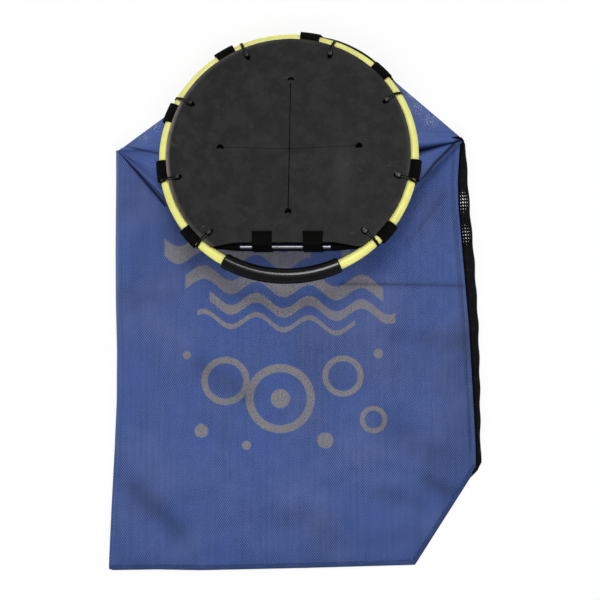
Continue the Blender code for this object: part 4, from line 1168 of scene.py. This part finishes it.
def rounded_ends(count, middle_radius, long, lip):
    """Places 0 to 1 along a bar and the radius at each: full, with a quarter round of a lip at each end."""
    turn = np.linspace(0.0, np.pi / 2, 8)
    near = (1 - np.cos(turn)) * lip / long
    places = np.concatenate([near, np.linspace(lip / long, 1 - lip / long, count)[1:-1], 1 - near[::-1]])
    end = middle_radius - lip + lip * np.sin(turn)
    return places, np.concatenate([end, np.full(count - 2, middle_radius), end[::-1]])


def rod_rings(x, radii, sides):
    """Circles round the rod's line at places along it, each with its own radius."""
    ring = radii[:, None, None] * circle(round_turn(sides))
    return from_hoop(stack(x[:, None], -ROD_OFFSET + ring[..., 0], ring[..., 1]))


def tape_loop(profile, angles, thickness):
    """A tape round the hose: its profile, outward and up, carried through the angles that it covers."""
    grid = from_hoop(leaned(angles[:, None], profile[None, :, 0], profile[None, :, 1]))
    uv = stack(((angles - angles[0]) * HOOP_RADIUS)[:, None], reach_along(profile)[None])
    return thick(grid, thickness, uv)


def tab_profile(settings):
    """A tab's section: a circle round the hose, 2.2 mm slack on its outward side, with both legs down
    beside the binding."""
    half = settings.sizes.webbing_thickness / 2
    leg, ring = 0.0007 + CLEAR + half, settings.sizes.hose_radius + CLEAR + half
    turn = np.radians(np.linspace(-50, 230, 40))
    straight = np.linspace(-0.0178, -0.0089, 6)
    slack = stack(0.0022 * np.clip(np.cos(turn), 0, None), 0)
    return np.concatenate([stack(leg, straight), ring * circle(turn) + slack, stack(-leg, straight[::-1])])


def chord_tab(settings, x):
    """A tab of the rod: flat on the sheet with a folded end, round the rod, and down to the binding.

    Its section runs towards -Y and down. It is carried along X over the tape's width.
    """
    sizes = settings.sizes
    half = sizes.webbing_thickness / 2
    over, ring = OVER_SHEET + CLEAR + half, sizes.rod_radius + CLEAR + half
    bend = np.linspace(0, 1, 12)
    section = np.concatenate([
        stack(np.linspace(0.0152, 0.0012, 10), over),
        stack(-ring * 0.55 * ease(bend) - 0.0004, over - (over - 0.0030) * bend ** 1.6),
        ring * circle(np.radians(np.linspace(150, 200, 8))),
        [(-0.0030, -0.0050), (-0.0018, -0.0080), (-0.00145, -0.0100), (-0.00145, -0.0125),
         (-0.00145, -0.0150)]])
    across = np.linspace(-0.5, 0.5, 16)[:, None] * sizes.webbing_width
    grid = from_hoop(stack(x + across, -ROD_OFFSET + section[:, 0], section[:, 1]))
    body = thick(grid, sizes.webbing_thickness, stack(across, reach_along(section)[None]))
    turn = round_turn(16)
    lip = stack(x + across * 1.01, -ROD_OFFSET + 0.0149 + 0.0018 * np.cos(turn),
                over + 0.0007 + 0.0012 * np.sin(turn))
    return [body, plain_bar(from_hoop(lip), 0.024, 0.006)]


def tie_path(settings):
    """The middle of a tie's strap in its own plane, outward and up from the hose's middle: out of the
    head over the sheet, round the hose, back below the sheet and up through its hole."""
    sizes = settings.sizes
    half = sizes.tie_thickness / 2
    top, ring = OVER_SHEET + CLEAR + half, sizes.hose_radius + CLEAR + half
    edge = np.array([-0.0007, top])
    below = np.array([-0.0184, UNDER_SHEET - sizes.tie_thickness])
    start = np.arctan2(edge[1], edge[0]) - np.arccos(ring / np.hypot(*edge))
    end = np.arctan2(below[1], below[0]) + np.arccos(ring / np.hypot(*below)) - 2 * np.pi
    return np.concatenate([
        [(-0.0150, top), (-0.0105, top), (-0.0055, top + 0.0002), edge + (-0.0012, 0.0001)],
        ring * circle(np.linspace(start, end, 26)),
        [below * (0.75, 1) + (0, -0.0006), below, (-0.0184, UNDER_SHEET + 0.0012), (-0.0180, top)]])


def smooth_path(path, count):
    """A path's corners rounded: points at even lengths, each the mean of five neighbours, ends kept."""
    reach = reach_along(path)
    at = np.linspace(0, reach[-1], count)
    even = np.stack([np.interp(at, reach, path[:, k]) for k in range(path.shape[1])], -1)
    padded = np.pad(even, ((2, 2), (0, 0)), mode="edge")
    mean = sum(padded[k:k + count] for k in range(5)) / 5
    mean[0], mean[-1] = even[0], even[-1]
    return mean


def box_section(wide, high, corner, count):
    """A rectangle with round corners, as points round it: a quarter circle turned to each corner."""
    w, h = wide / 2 - corner, high / 2 - corner
    turn = np.linspace(0, np.pi / 2, count)
    return np.concatenate([corner * circle(turn + k * np.pi / 2) + middle
                           for k, middle in enumerate(((w, h), (-w, h), (-w, -h), (w, -h)))])


def cable_tie(settings, hole_angle, hose_angle):
    """One tie: its strap's rounded section carried along its path, its head and the cut end of the strap.

    The path lies square across the hoop from the sheet's edge outward, and slants inward of it to its
    hole: its angle changes evenly with the way in. The head is a box whose size follows its levels.
    """
    hole_angle, hose_angle = np.radians([hole_angle, hose_angle])
    slant_start, slant_length = -0.0019, 0.0165
    head_reach, head_sides, end_reach, end_height = -0.0148, (0.0068, 0.0066), -0.0166, 0.0024

    def place(reach, aside, up):
        slant = np.clip((slant_start - reach) / slant_length, 0, 1)
        angle = hose_angle + (hole_angle - hose_angle) * slant
        way = HOOP_RADIUS + reach
        return from_hoop(stack(way * np.cos(angle) - aside * np.sin(angle),
                               way * np.sin(angle) + aside * np.cos(angle), up))

    path = smooth_path(tie_path(settings), 90)
    run = unit(np.gradient(path, axis=0))
    section = box_section(settings.sizes.tie_width, settings.sizes.tie_thickness, 0.00035, 3)
    at = path[:, None] + stack(-run[:, 1], run[:, 0])[:, None] * section[None, :, 1:]
    strap = place(at[..., 0], section[None, :, 0], at[..., 1])

    top = OVER_SHEET + 0.0002
    levels = np.array([0.0, 0.0004, 0.0016, 0.0030, 0.0040, 0.0044, 0.0045])[:, None]
    scale = np.array([0.90, 1.0, 1.0, 0.98, 0.92, 0.78, 0.55])[:, None]
    outline = box_section(*head_sides, 0.0013, 5)
    head = place(head_reach + outline[:, 0] * scale, outline[:, 1] * scale, top + levels)
    high = np.linspace(0, end_height, 5)[:, None]
    end = place(end_reach - 0.25 * high + section[:, 1], section[:, 0], top + 0.0036 + high)
    return [plain_bar(strap, reach_along(path)[-1], 0.0096), plain_bar(head, 0.0045, 0.024),
            plain_bar(end, end_height, 0.0096)]


def binding_band(settings):
    """The mouth's binding: a tape's flat loop section carried round the mouth's edge, with the edge's
    two corners eased, and a small wave where the cloth pulls it between the tabs."""
    high, thickness, count = settings.sizes.binding_width, 0.0015, 480
    shares = np.linspace(0, 1, count, endpoint=False)
    section = box_section(thickness, high, 0.0006, 4)
    wave = 0.0004 * np.sin(shares * 2 * np.pi * 22) * (np.abs(shares - 0.5) < 0.36)
    grid = from_hoop(mouth(shares[:, None], section[None, :, 0] + (wave - tucked(shares))[:, None],
                           -0.0086 - high / 2 + section[None, :, 1]))
    around = np.linspace(0, 2 * (high + thickness), len(section) + 1)
    uv = stack((np.linspace(0, 1, count + 1) * MOUTH_EDGE)[:, None], around[None])
    corners, places = grid_faces(count, len(section), close_rows=True, close_columns=True)
    return grid.reshape(-1, 3), [corners], [uv[places[..., 0], places[..., 1]]]


def rod_wrap(settings, start, end):
    """The binding rolled round the rod between two places along it: a bar whose radius swells a little
    by two slow sines."""
    places, radii = rounded_ends(40, settings.sizes.rod_radius + CLEAR, end - start, 0.0006)
    x = start + (end - start) * places
    radii = radii + 0.0001 * np.sin(x * 300) + 0.0001 * np.sin(x * 710)
    return plain_bar(rod_rings(x, radii, 18), end - start, 0.019)


def bowed(plan):
    """The cross's places in the hoop's plane, let down by 1.6 mm, and further by bell curves of Y and X round
    the slit across: 2.4 mm at its left end, 1.0 mm at its right end and 4.3 mm in its middle."""
    x, y = plan[..., 0], plan[..., 1]
    aside = (x - CROSS_MIDDLE[0]) / SLIT_HALF
    more = hump(y, CROSS_MIDDLE[1], 0.035) * (0.0017 - 0.0007 * aside + 0.0026 * hump(aside, 0, 0.65))
    return stack(x, y - 0.0016 - more)


def stop_hole(k, radius):
    """The sheet's edge round one stop hole, whose lower part is left as a lip of rubber.

    The lip's upper edge joins two places of the circle at one height and rises by half a cosine between
    them. Where a leaf bounds the hole, the lip ends 0.15 mm inside the circle.
    """
    ends, rise = HOLE_LIPS[k]
    near = radius - 0.00015

    def arc(size, first, last, count):
        return size * circle(np.radians(np.linspace(first, last, count)))

    way = np.linspace(-1, 1, 11)
    left, right = (near if k == 0 else radius), (near if k in (1, 2) else radius)
    x = np.where(way < 0, left, right) * np.cos(np.radians(ends)) * way
    lip = stack(x, radius * np.sin(np.radians(ends)) + rise * (1 + np.cos(np.pi * way)) / 2)
    if k == 0:
        return np.concatenate([arc(radius, -135, -135, 1), arc(near, 225, 181 - ends, 5), lip,
                               arc(radius, ends, 135, 20)[1:]])
    before = arc(radius, 90 * k - 135, 180 - ends, 20)[:-1]
    if k == 3:
        return np.concatenate([before, lip, arc(radius, ends, 45, 20)[1:]])
    return np.concatenate([before, lip, arc(near, ends - 1, -135 if k == 1 else -45, 12),
                           arc(radius, 90 * k + 135, 90 * k + 135, 1)])


def rubber_outlines(settings):
    """The fixed sheet's outlines in the hoop's plane: its edge, the window that the leaves fill, and the
    ties' holes."""
    radius, setback = HOOP_RADIUS - 0.0036, ROD_OFFSET + 0.0020
    end = np.arcsin(setback / radius)
    straight = radius * np.cos(end) * np.linspace(-1, 1, 60)[1:-1]
    edge = np.concatenate([radius * circle(np.linspace(-end, np.pi + end, 200)),
                           stack(straight, 0.0051 * bare(straight) - setback)])
    holes = [CROSS_MIDDLE + settings.sizes.slit_half * circle(np.pi / 2 * k) +
             stop_hole(k, settings.sizes.stop_radius) for k in range(4)]
    window = []
    for hole, following in zip(holes, holes[1:] + holes[:1]):
        window += [hole, np.linspace(hole[-1], following[0], 33)[1:-1]]
    ties = [TIE_HOLE_REACH * circle(np.radians(hole)) + TIE_HOLE * circle(round_turn(16))
            for hole, _ in TIE_ANGLES]
    return [edge, bowed(np.concatenate(window))] + ties


def filled_sheet(name, outlines, low, high, finish):
    """A flat sheet between two heights of the hoop's frame: Blender's own fill of the outlines, made a
    mesh, merged, moved to its place, its pattern's places the hoop's X and Y."""
    curve = bpy.data.curves.new(name, "CURVE")
    curve.dimensions, curve.fill_mode, curve.extrude = "2D", "BOTH", (high - low) / 2
    for outline in outlines:
        line = curve.splines.new("POLY")
        line.points.add(len(outline) - 1)
        fill_layer(line.points, "co", np.pad(outline, ((0, 0), (0, 2))))
        line.use_cyclic_u = True
    drawn = add_object(name + "_outline", curve)
    bpy.context.view_layer.update()
    mesh = bpy.data.meshes.new_from_object(drawn.evaluated_get(bpy.context.evaluated_depsgraph_get()))
    bpy.data.objects.remove(drawn)
    shape = bmesh.new()
    shape.from_mesh(mesh)
    bmesh.ops.remove_doubles(shape, verts=shape.verts, dist=1e-6)
    bmesh.ops.recalc_face_normals(shape, faces=shape.faces)
    shape.to_mesh(mesh)
    shape.free()
    points = np.empty(len(mesh.vertices) * 3, np.float32)
    mesh.vertices.foreach_get("co", points)
    points = points.reshape(-1, 3).astype(float)
    corner = np.empty(len(mesh.loops), np.int32)
    mesh.loops.foreach_get("vertex_index", corner)
    while mesh.uv_layers:
        mesh.uv_layers.remove(mesh.uv_layers[0])
    fill_layer(mesh.uv_layers.new(name="Pattern").data, "uv", points[corner, :2])
    fill_layer(mesh.vertices, "co", from_hoop(points + [0, 0, (low + high) / 2]))
    mesh.materials.clear()
    mesh.materials.append(finish)
    mesh.name = name
    mesh.update()
    piece = add_object(name, mesh)
    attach(piece, "hoop")
    return piece


def leaf_slab(settings, direction):
    """One leaf of the cross: rows from its hinge to its point, each a line across as wide as the leaf.

    With y from the hinge and h the hinge's distance from the cross's middle, half the width is h less
    the root of r^2 - y^2 beside the stop hole, and h - y less the slit's gap beyond it. The slit across
    the sheet is narrower than the one along it, so each leaf's two sides have gaps of their own.
    """
    sizes = settings.sizes
    h, r = sizes.slit_half / np.sqrt(2), sizes.stop_radius
    hole_end = r * np.sin(np.pi / 4)
    y = np.concatenate([np.linspace(0, hole_end, 7)[:-1], np.linspace(hole_end, h - 0.0010, 34)])
    by_hole = h - np.sqrt(np.clip(r * r - y * y, 0, None))
    gaps = [sizes.slit_gap / 2, sizes.slit_gap * 0.22]
    sides = [np.maximum(np.where(y < hole_end, by_hole, h - y - gap * np.sqrt(2)), 0.00012)[:, None]
             for gap in (gaps if direction in (45, 225) else gaps[::-1])]
    across = np.linspace(-1, 1, 33)
    x = across * np.where(across < 0, *sides)
    inward = -circle(np.radians(direction))
    aside = np.array([-inward[1], inward[0]])
    hinge = CROSS_MIDDLE - inward * h
    plan = bowed(hinge + inward * y[:, None, None] + aside * x[..., None])
    sag = 0.00035 * (y / h)[:, None] ** 2
    top, bottom = (from_hoop(stack(plan[..., 0], plan[..., 1], level - sag))
                   for level in (SHEET_TOP, SHEET_LOW))
    start, end = (from_hoop([*(hinge + inward * way), SHEET_MIDDLE]) for way in (0, 0.018))
    return slab(top, bottom, plan), start, end


# ---------------------------------------------------------------- the operators

def seen(tree, low, high):
    """A number in a node tree: high where a camera, glossy or transmission ray arrives, low elsewhere."""
    path = tree.nodes.new("ShaderNodeLightPath")
    share = path.outputs["Is Camera Ray"]
    for kind in ("Is Glossy Ray", "Is Transmission Ray"):
        most = tree.nodes.new("ShaderNodeMath")
        most.operation = "MAXIMUM"
        tree.links.new(share, most.inputs[0])
        tree.links.new(path.outputs[kind], most.inputs[1])
        share = most.outputs[0]
    level = tree.nodes.new("ShaderNodeMapRange")
    tree.links.new(share, level.inputs[0])
    level.inputs["To Min"].default_value, level.inputs["To Max"].default_value = low, high
    return level.outputs[0]


# The camera's place, lens and film in millimetres, half the table, how far the table and the room shine
# for the camera and for the bag, and the lamps: name, place, width, depth and power
CAMERA_PLACE, LENS, FILM = (0.00455, 0.0025, 2.6), 124.8, 36.0
TABLE_HALF, TABLE_SHINE, ROOM_SHINE, ROOM_LIGHT = 4.0, 0.80, 1.0, 0.50
LAMPS = [("key", (0.0, 1.20, 3.3), 0.90, 0.90, 40.0), ("overhead", (0.0, 0.10, 3.6), 2.6, 2.6, 20.0),
         ("near_side", (0.0, -2.2, 2.6), 2.2, 2.0, 28.0), ("highlight", (0.0, 1.75, 3.2), 1.20, 1.60, 275.0)]


class CATCHBAG_OT_stage(bpy.types.Operator):
    """A white table, soft light from above and the camera straight over the bag"""
    bl_idname = "catchbag.stage"
    bl_label = "Table, light and camera"

    def execute(self, context):
        scene = context.scene
        scene.view_settings.view_transform = "Standard"

        table = bpy.data.materials.new("white_table")
        table.use_nodes = True
        nodes, links = table.node_tree.nodes, table.node_tree.links
        shader, mixed = nodes["Principled BSDF"], nodes.new("ShaderNodeMixShader")
        shader.inputs["Base Color"].default_value = (0.90, 0.90, 0.90, 1.0)
        shader.inputs["Roughness"].default_value = 0.9
        links.new(seen(table.node_tree, 0.0, TABLE_SHINE), mixed.inputs[0])
        links.new(shader.outputs[0], mixed.inputs[1])
        links.new(nodes.new("ShaderNodeEmission").outputs[0], mixed.inputs[2])
        links.new(mixed.outputs[0], nodes["Material Output"].inputs[0])
        mesh = bpy.data.meshes.new("table")
        corners = [(x * TABLE_HALF, y * TABLE_HALF, 0) for x, y in ((-1, -1), (1, -1), (1, 1), (-1, 1))]
        mesh.from_pydata(corners, [], [(0, 1, 2, 3)])
        mesh.materials.append(table)
        add_object("table", mesh)

        world = bpy.data.worlds.new("studio")
        scene.world = world
        world.use_nodes = True
        background = world.node_tree.nodes["Background"]
        background.inputs[0].default_value = (1.0, 1.0, 1.0, 1.0)
        world.node_tree.links.new(seen(world.node_tree, ROOM_LIGHT, ROOM_SHINE), background.inputs[1])

        for name, place, wide, high, power in LAMPS:
            lamp = bpy.data.lights.new(name, "AREA")
            lamp.shape, lamp.size, lamp.size_y, lamp.energy = "RECTANGLE", wide, high, power
            light = add_object(name, lamp)
            light.location = place
            light.rotation_euler = Vector(place).to_track_quat("Z", "Y").to_euler()
            light.visible_camera = False
            light.visible_diffuse = name != "highlight"
            light.visible_glossy = name != "near_side"

        camera = bpy.data.cameras.new("overhead_camera")
        camera.sensor_width, camera.lens = FILM, LENS
        camera.clip_start, camera.clip_end = 0.1, 20.0
        scene.camera = add_object("overhead_camera", camera)
        scene.camera.location = CAMERA_PLACE
        return {"FINISHED"}


class CATCHBAG_OT_bag(bpy.types.Operator):
    """The bag's front, left edge and back, as one lofted shell of mesh cloth"""
    bl_idname = "catchbag.bag"
    bl_label = "Bag"

    def execute(self, context):
        settings = context.scene.catch_bag
        grid, uv, shade = bag_shell(settings)
        patch = thick(grid, settings.sizes.cloth_thickness, uv)
        shell = make_piece("bag_cloth", [patch], finish_of(settings, cloth_finish, printed=True), "bag",
                           {"shade": [inside(shade, grid), shade], "sheer": [0 * shade, 0 * shade]})
        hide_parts("bag_front", "bag_back", "left_edge")
        return {"FINISHED"}


class CATCHBAG_OT_neck(bpy.types.Operator):
    """The gathered neck between the mouth and the shoulders, in three pieces"""
    bl_idname = "catchbag.neck"
    bl_label = "Neck"

    def execute(self, context):
        settings = context.scene.catch_bag
        for name, side, start, end, replaced, flat, area, gradient, offset in NECK_PIECES:
            grid, uv, shade, sheer = neck_surface(settings, start, end, side)
            patch = thick(grid, settings.sizes.cloth_thickness, uv)
            piece = make_piece(name, [patch], finish_of(settings, cloth_finish, printed=False), None,
                               {"shade": [shade, inside(shade, grid)], "sheer": [sheer, sheer]})
            bend_between(piece, gradient)
            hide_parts(*replaced)
        return {"FINISHED"}


class CATCHBAG_OT_hem(bpy.types.Operator):
    """The turned hem at the bottom and up the slanting corner"""
    bl_idname = "catchbag.hem"
    bl_label = "Hem"

    def execute(self, context):
        settings = context.scene.catch_bag
        grid, uv = hem_band(settings)
        band = make_piece("hem_band", [thick(grid, HEM_CLOTH, uv)], finish_of(settings, hem_finish), "bag")
        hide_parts("bottom_hem")
        return {"FINISHED"}


class CATCHBAG_OT_seams(bpy.types.Operator):
    """The stitches along the hem, the left edge and the net"""
    bl_idname = "catchbag.seams"
    bl_label = "Stitches"

    def execute(self, context):
        settings = context.scene.catch_bag
        for kind in ("hem", "left", "net"):
            row = make_piece(kind + "_stitches", [stitches(seam_path(kind, settings))],
                             finish_of(settings, thread_finish), "bag")
        return {"FINISHED"}


class CATCHBAG_OT_net(bpy.types.Operator):
    """The strip of knotted net that closes the right side, and its rolled edge"""
    bl_idname = "catchbag.net"
    bl_label = "Side net"

    def execute(self, context):
        settings = context.scene.catch_bag
        net = make_piece("net_strip", [net_strip(settings)], finish_of(settings, net_finish), "bag")
        wall = net.modifiers.new("cord", "SOLIDIFY")
        wall.thickness, wall.offset = NET_CORD, 0.0
        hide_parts("side_net")

        edge = make_piece("net_edge", net_edge(settings), finish_of(settings, webbing_finish), "bag")
        return {"FINISHED"}


class CATCHBAG_OT_hoop(bpy.types.Operator):
    """The hoop's yellow hose with the black grip on it, and the steel core inside"""
    bl_idname = "catchbag.hoop"
    bl_label = "Hoop"

    def execute(self, context):
        settings = context.scene.catch_bag
        sizes, sides = settings.sizes, settings.steps.round_sides
        under_grip = 0.010
        start, end = GRIP_ANGLES[1] - under_grip, GRIP_ANGLES[0] + 2 * np.pi + under_grip
        places, radii = rounded_ends(300, sizes.hose_radius, (end - start) * HOOP_RADIUS, 0.0006)
        angles = start + (end - start) * places
        radii = radii * (1 + 0.006 * np.sin(angles * 17) + 0.005 * np.sin(angles * 41 + 1))
        hose = make_piece("hose", [ring_bar(angles, radii, sides)], finish_of(settings, hose_finish), "hoop")
        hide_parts("hoop_hose")

        long = (GRIP_ANGLES[1] - GRIP_ANGLES[0]) * HOOP_RADIUS
        places, radii = rounded_ends(90, sizes.grip_radius, long, 0.0016)
        angles = GRIP_ANGLES[0] + (GRIP_ANGLES[1] - GRIP_ANGLES[0]) * places
        grip = make_piece("grip", [ring_bar(angles, radii, sides)], finish_of(settings, grip_finish), "hoop")
        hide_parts("grip_sleeve")

        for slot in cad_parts["hoop_core"].material_slots:
            slot.material = finish_of(settings, steel_finish)
        return {"FINISHED"}


class CATCHBAG_OT_rod(bpy.types.Operator):
    """The straight steel rod across the hoop"""
    bl_idname = "catchbag.rod"
    bl_label = "Rod"

    def execute(self, context):
        settings = context.scene.catch_bag
        radius, long, sides = settings.sizes.rod_radius, 2 * HALF_CHORD - 0.004, 28
        places, radii = rounded_ends(60, radius, long, 0.0005)
        x = (places - 0.5) * long
        uv = stack(np.linspace(0, 2 * np.pi * radius, sides + 1)[None], x[:, None])
        bar = rod_patch(rod_rings(x, radii, sides), uv)
        rod = make_piece("rod", [bar], finish_of(settings, steel_finish), "hoop")
        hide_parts("chord_rod")
        return {"FINISHED"}


class CATCHBAG_OT_rubber(bpy.types.Operator):
    """The rubber sheet over the hoop and its four leaves"""
    bl_idname = "catchbag.rubber"
    bl_label = "Entry sheet"

    def execute(self, context):
        settings = context.scene.catch_bag
        finish = finish_of(settings, rubber_finish)
        sheet = filled_sheet("entry_sheet", rubber_outlines(settings), SHEET_LOW,
                             SHEET_LOW + settings.sizes.rubber_thickness, finish)
        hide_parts("entry_rubber")
        for name, direction in LEAVES.items():
            patch, start, end = leaf_slab(settings, direction)
            leaf = make_piece("leaf_" + name + "_rubber", [patch], finish, None)
            tuple(start)
            tuple(end)
            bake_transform(leaf)
            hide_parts("entry_leaf_" + name)
        return {"FINISHED"}


class CATCHBAG_OT_ties(bpy.types.Operator):
    """The eight cable ties that hold the sheet to the hose"""
    bl_idname = "catchbag.ties"
    bl_label = "Cable ties"

    def execute(self, context):
        settings = context.scene.catch_bag
        finish = finish_of(settings, tie_finish)
        for number, (hole, hose) in enumerate(TIE_ANGLES, 1):
            tie = make_piece("tie_%d" % number, cable_tie(settings, hole, hose), finish, "hoop")
            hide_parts("cable_tie_%d" % number)
        return {"FINISHED"}


class CATCHBAG_OT_binding(bpy.types.Operator):
    """The tape that binds the mouth's edge under the hose and the rod"""
    bl_idname = "catchbag.binding"
    bl_label = "Mouth binding"

    def execute(self, context):
        settings = context.scene.catch_bag
        rod_end = HALF_CHORD - 0.0022
        patches = [binding_band(settings), rod_wrap(settings, -rod_end, BARE_ROD[0]),
                   rod_wrap(settings, BARE_ROD[1], rod_end)]
        band = make_piece("mouth_tape", patches, finish_of(settings, webbing_finish), "hoop")
        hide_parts("mouth_binding")
        return {"FINISHED"}


class CATCHBAG_OT_tabs(bpy.types.Operator):
    """The eight webbing tabs round the hose and the two over the rod"""
    bl_idname = "catchbag.tabs"
    bl_label = "Webbing tabs"

    def execute(self, context):
        settings = context.scene.catch_bag
        sizes, finish = settings.sizes, finish_of(settings, webbing_finish)
        spread = np.linspace(-0.5, 0.5, 18) * sizes.webbing_width / HOOP_RADIUS
        for number, angle in enumerate(TAB_ANGLES, 1):
            loop = tape_loop(tab_profile(settings), np.radians(angle) + spread, sizes.webbing_thickness)
            tab = make_piece("tab_%d" % number, [loop], finish, "hoop")
            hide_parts("hoop_tab_%d" % number)
        for side, x in zip(("left", "right"), CHORD_TAB_PLACES):
            tab = make_piece("rod_tab_" + side, chord_tab(settings, x), finish, "hoop")
            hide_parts("chord_tab_" + side)
        return {"FINISHED"}


class CATCHBAG_PT_panel(bpy.types.Panel):
    """Lists the bag's pieces, its sizes and its colours"""
    bl_idname = "CATCHBAG_PT_panel"
    bl_label = "Dive catch bag"
    bl_space_type = "VIEW_3D"
    bl_region_type = "UI"
    bl_category = "Catch bag"

    def draw(self, context):
        settings = context.scene.catch_bag
        for title, group in (("Sizes", settings.sizes), ("Colours", settings.colours),
                             ("Divisions", settings.steps)):
            box = self.layout.box()
            box.label(text=title)
            for key in group.__annotations__:
                box.prop(group, key)
        for operator in OPERATORS:
            self.layout.operator(operator.bl_idname)


OPERATORS = (CATCHBAG_OT_stage, CATCHBAG_OT_bag, CATCHBAG_OT_neck, CATCHBAG_OT_hem, CATCHBAG_OT_seams,
             CATCHBAG_OT_net, CATCHBAG_OT_hoop, CATCHBAG_OT_rod, CATCHBAG_OT_rubber, CATCHBAG_OT_ties,
             CATCHBAG_OT_binding, CATCHBAG_OT_tabs)
CLASSES = (CatchBagColours, CatchBagSizes, CatchBagSteps, CatchBagSettings) + OPERATORS + (CATCHBAG_PT_panel,)


def register():
    """Adds the classes and the scene's settings."""
    for each in CLASSES:
        bpy.utils.register_class(each)
    bpy.types.Scene.catch_bag = PointerProperty(type=CatchBagSettings)


def unregister():
    """Takes the settings and the classes away again."""
    del bpy.types.Scene.catch_bag
    for each in reversed(CLASSES):
        bpy.utils.unregister_class(each)


def main():
    """Makes the stage and every piece in order."""
    register()
    bpy.ops.catchbag.stage()
    bpy.ops.catchbag.bag()
    bpy.ops.catchbag.neck()
    bpy.ops.catchbag.hem()
    bpy.ops.catchbag.seams()
    bpy.ops.catchbag.net()
    bpy.ops.catchbag.hoop()
    bpy.ops.catchbag.rod()
    bpy.ops.catchbag.rubber()
    bpy.ops.catchbag.ties()
    bpy.ops.catchbag.binding()
    bpy.ops.catchbag.tabs()


if __name__ == "__main__":
    main()
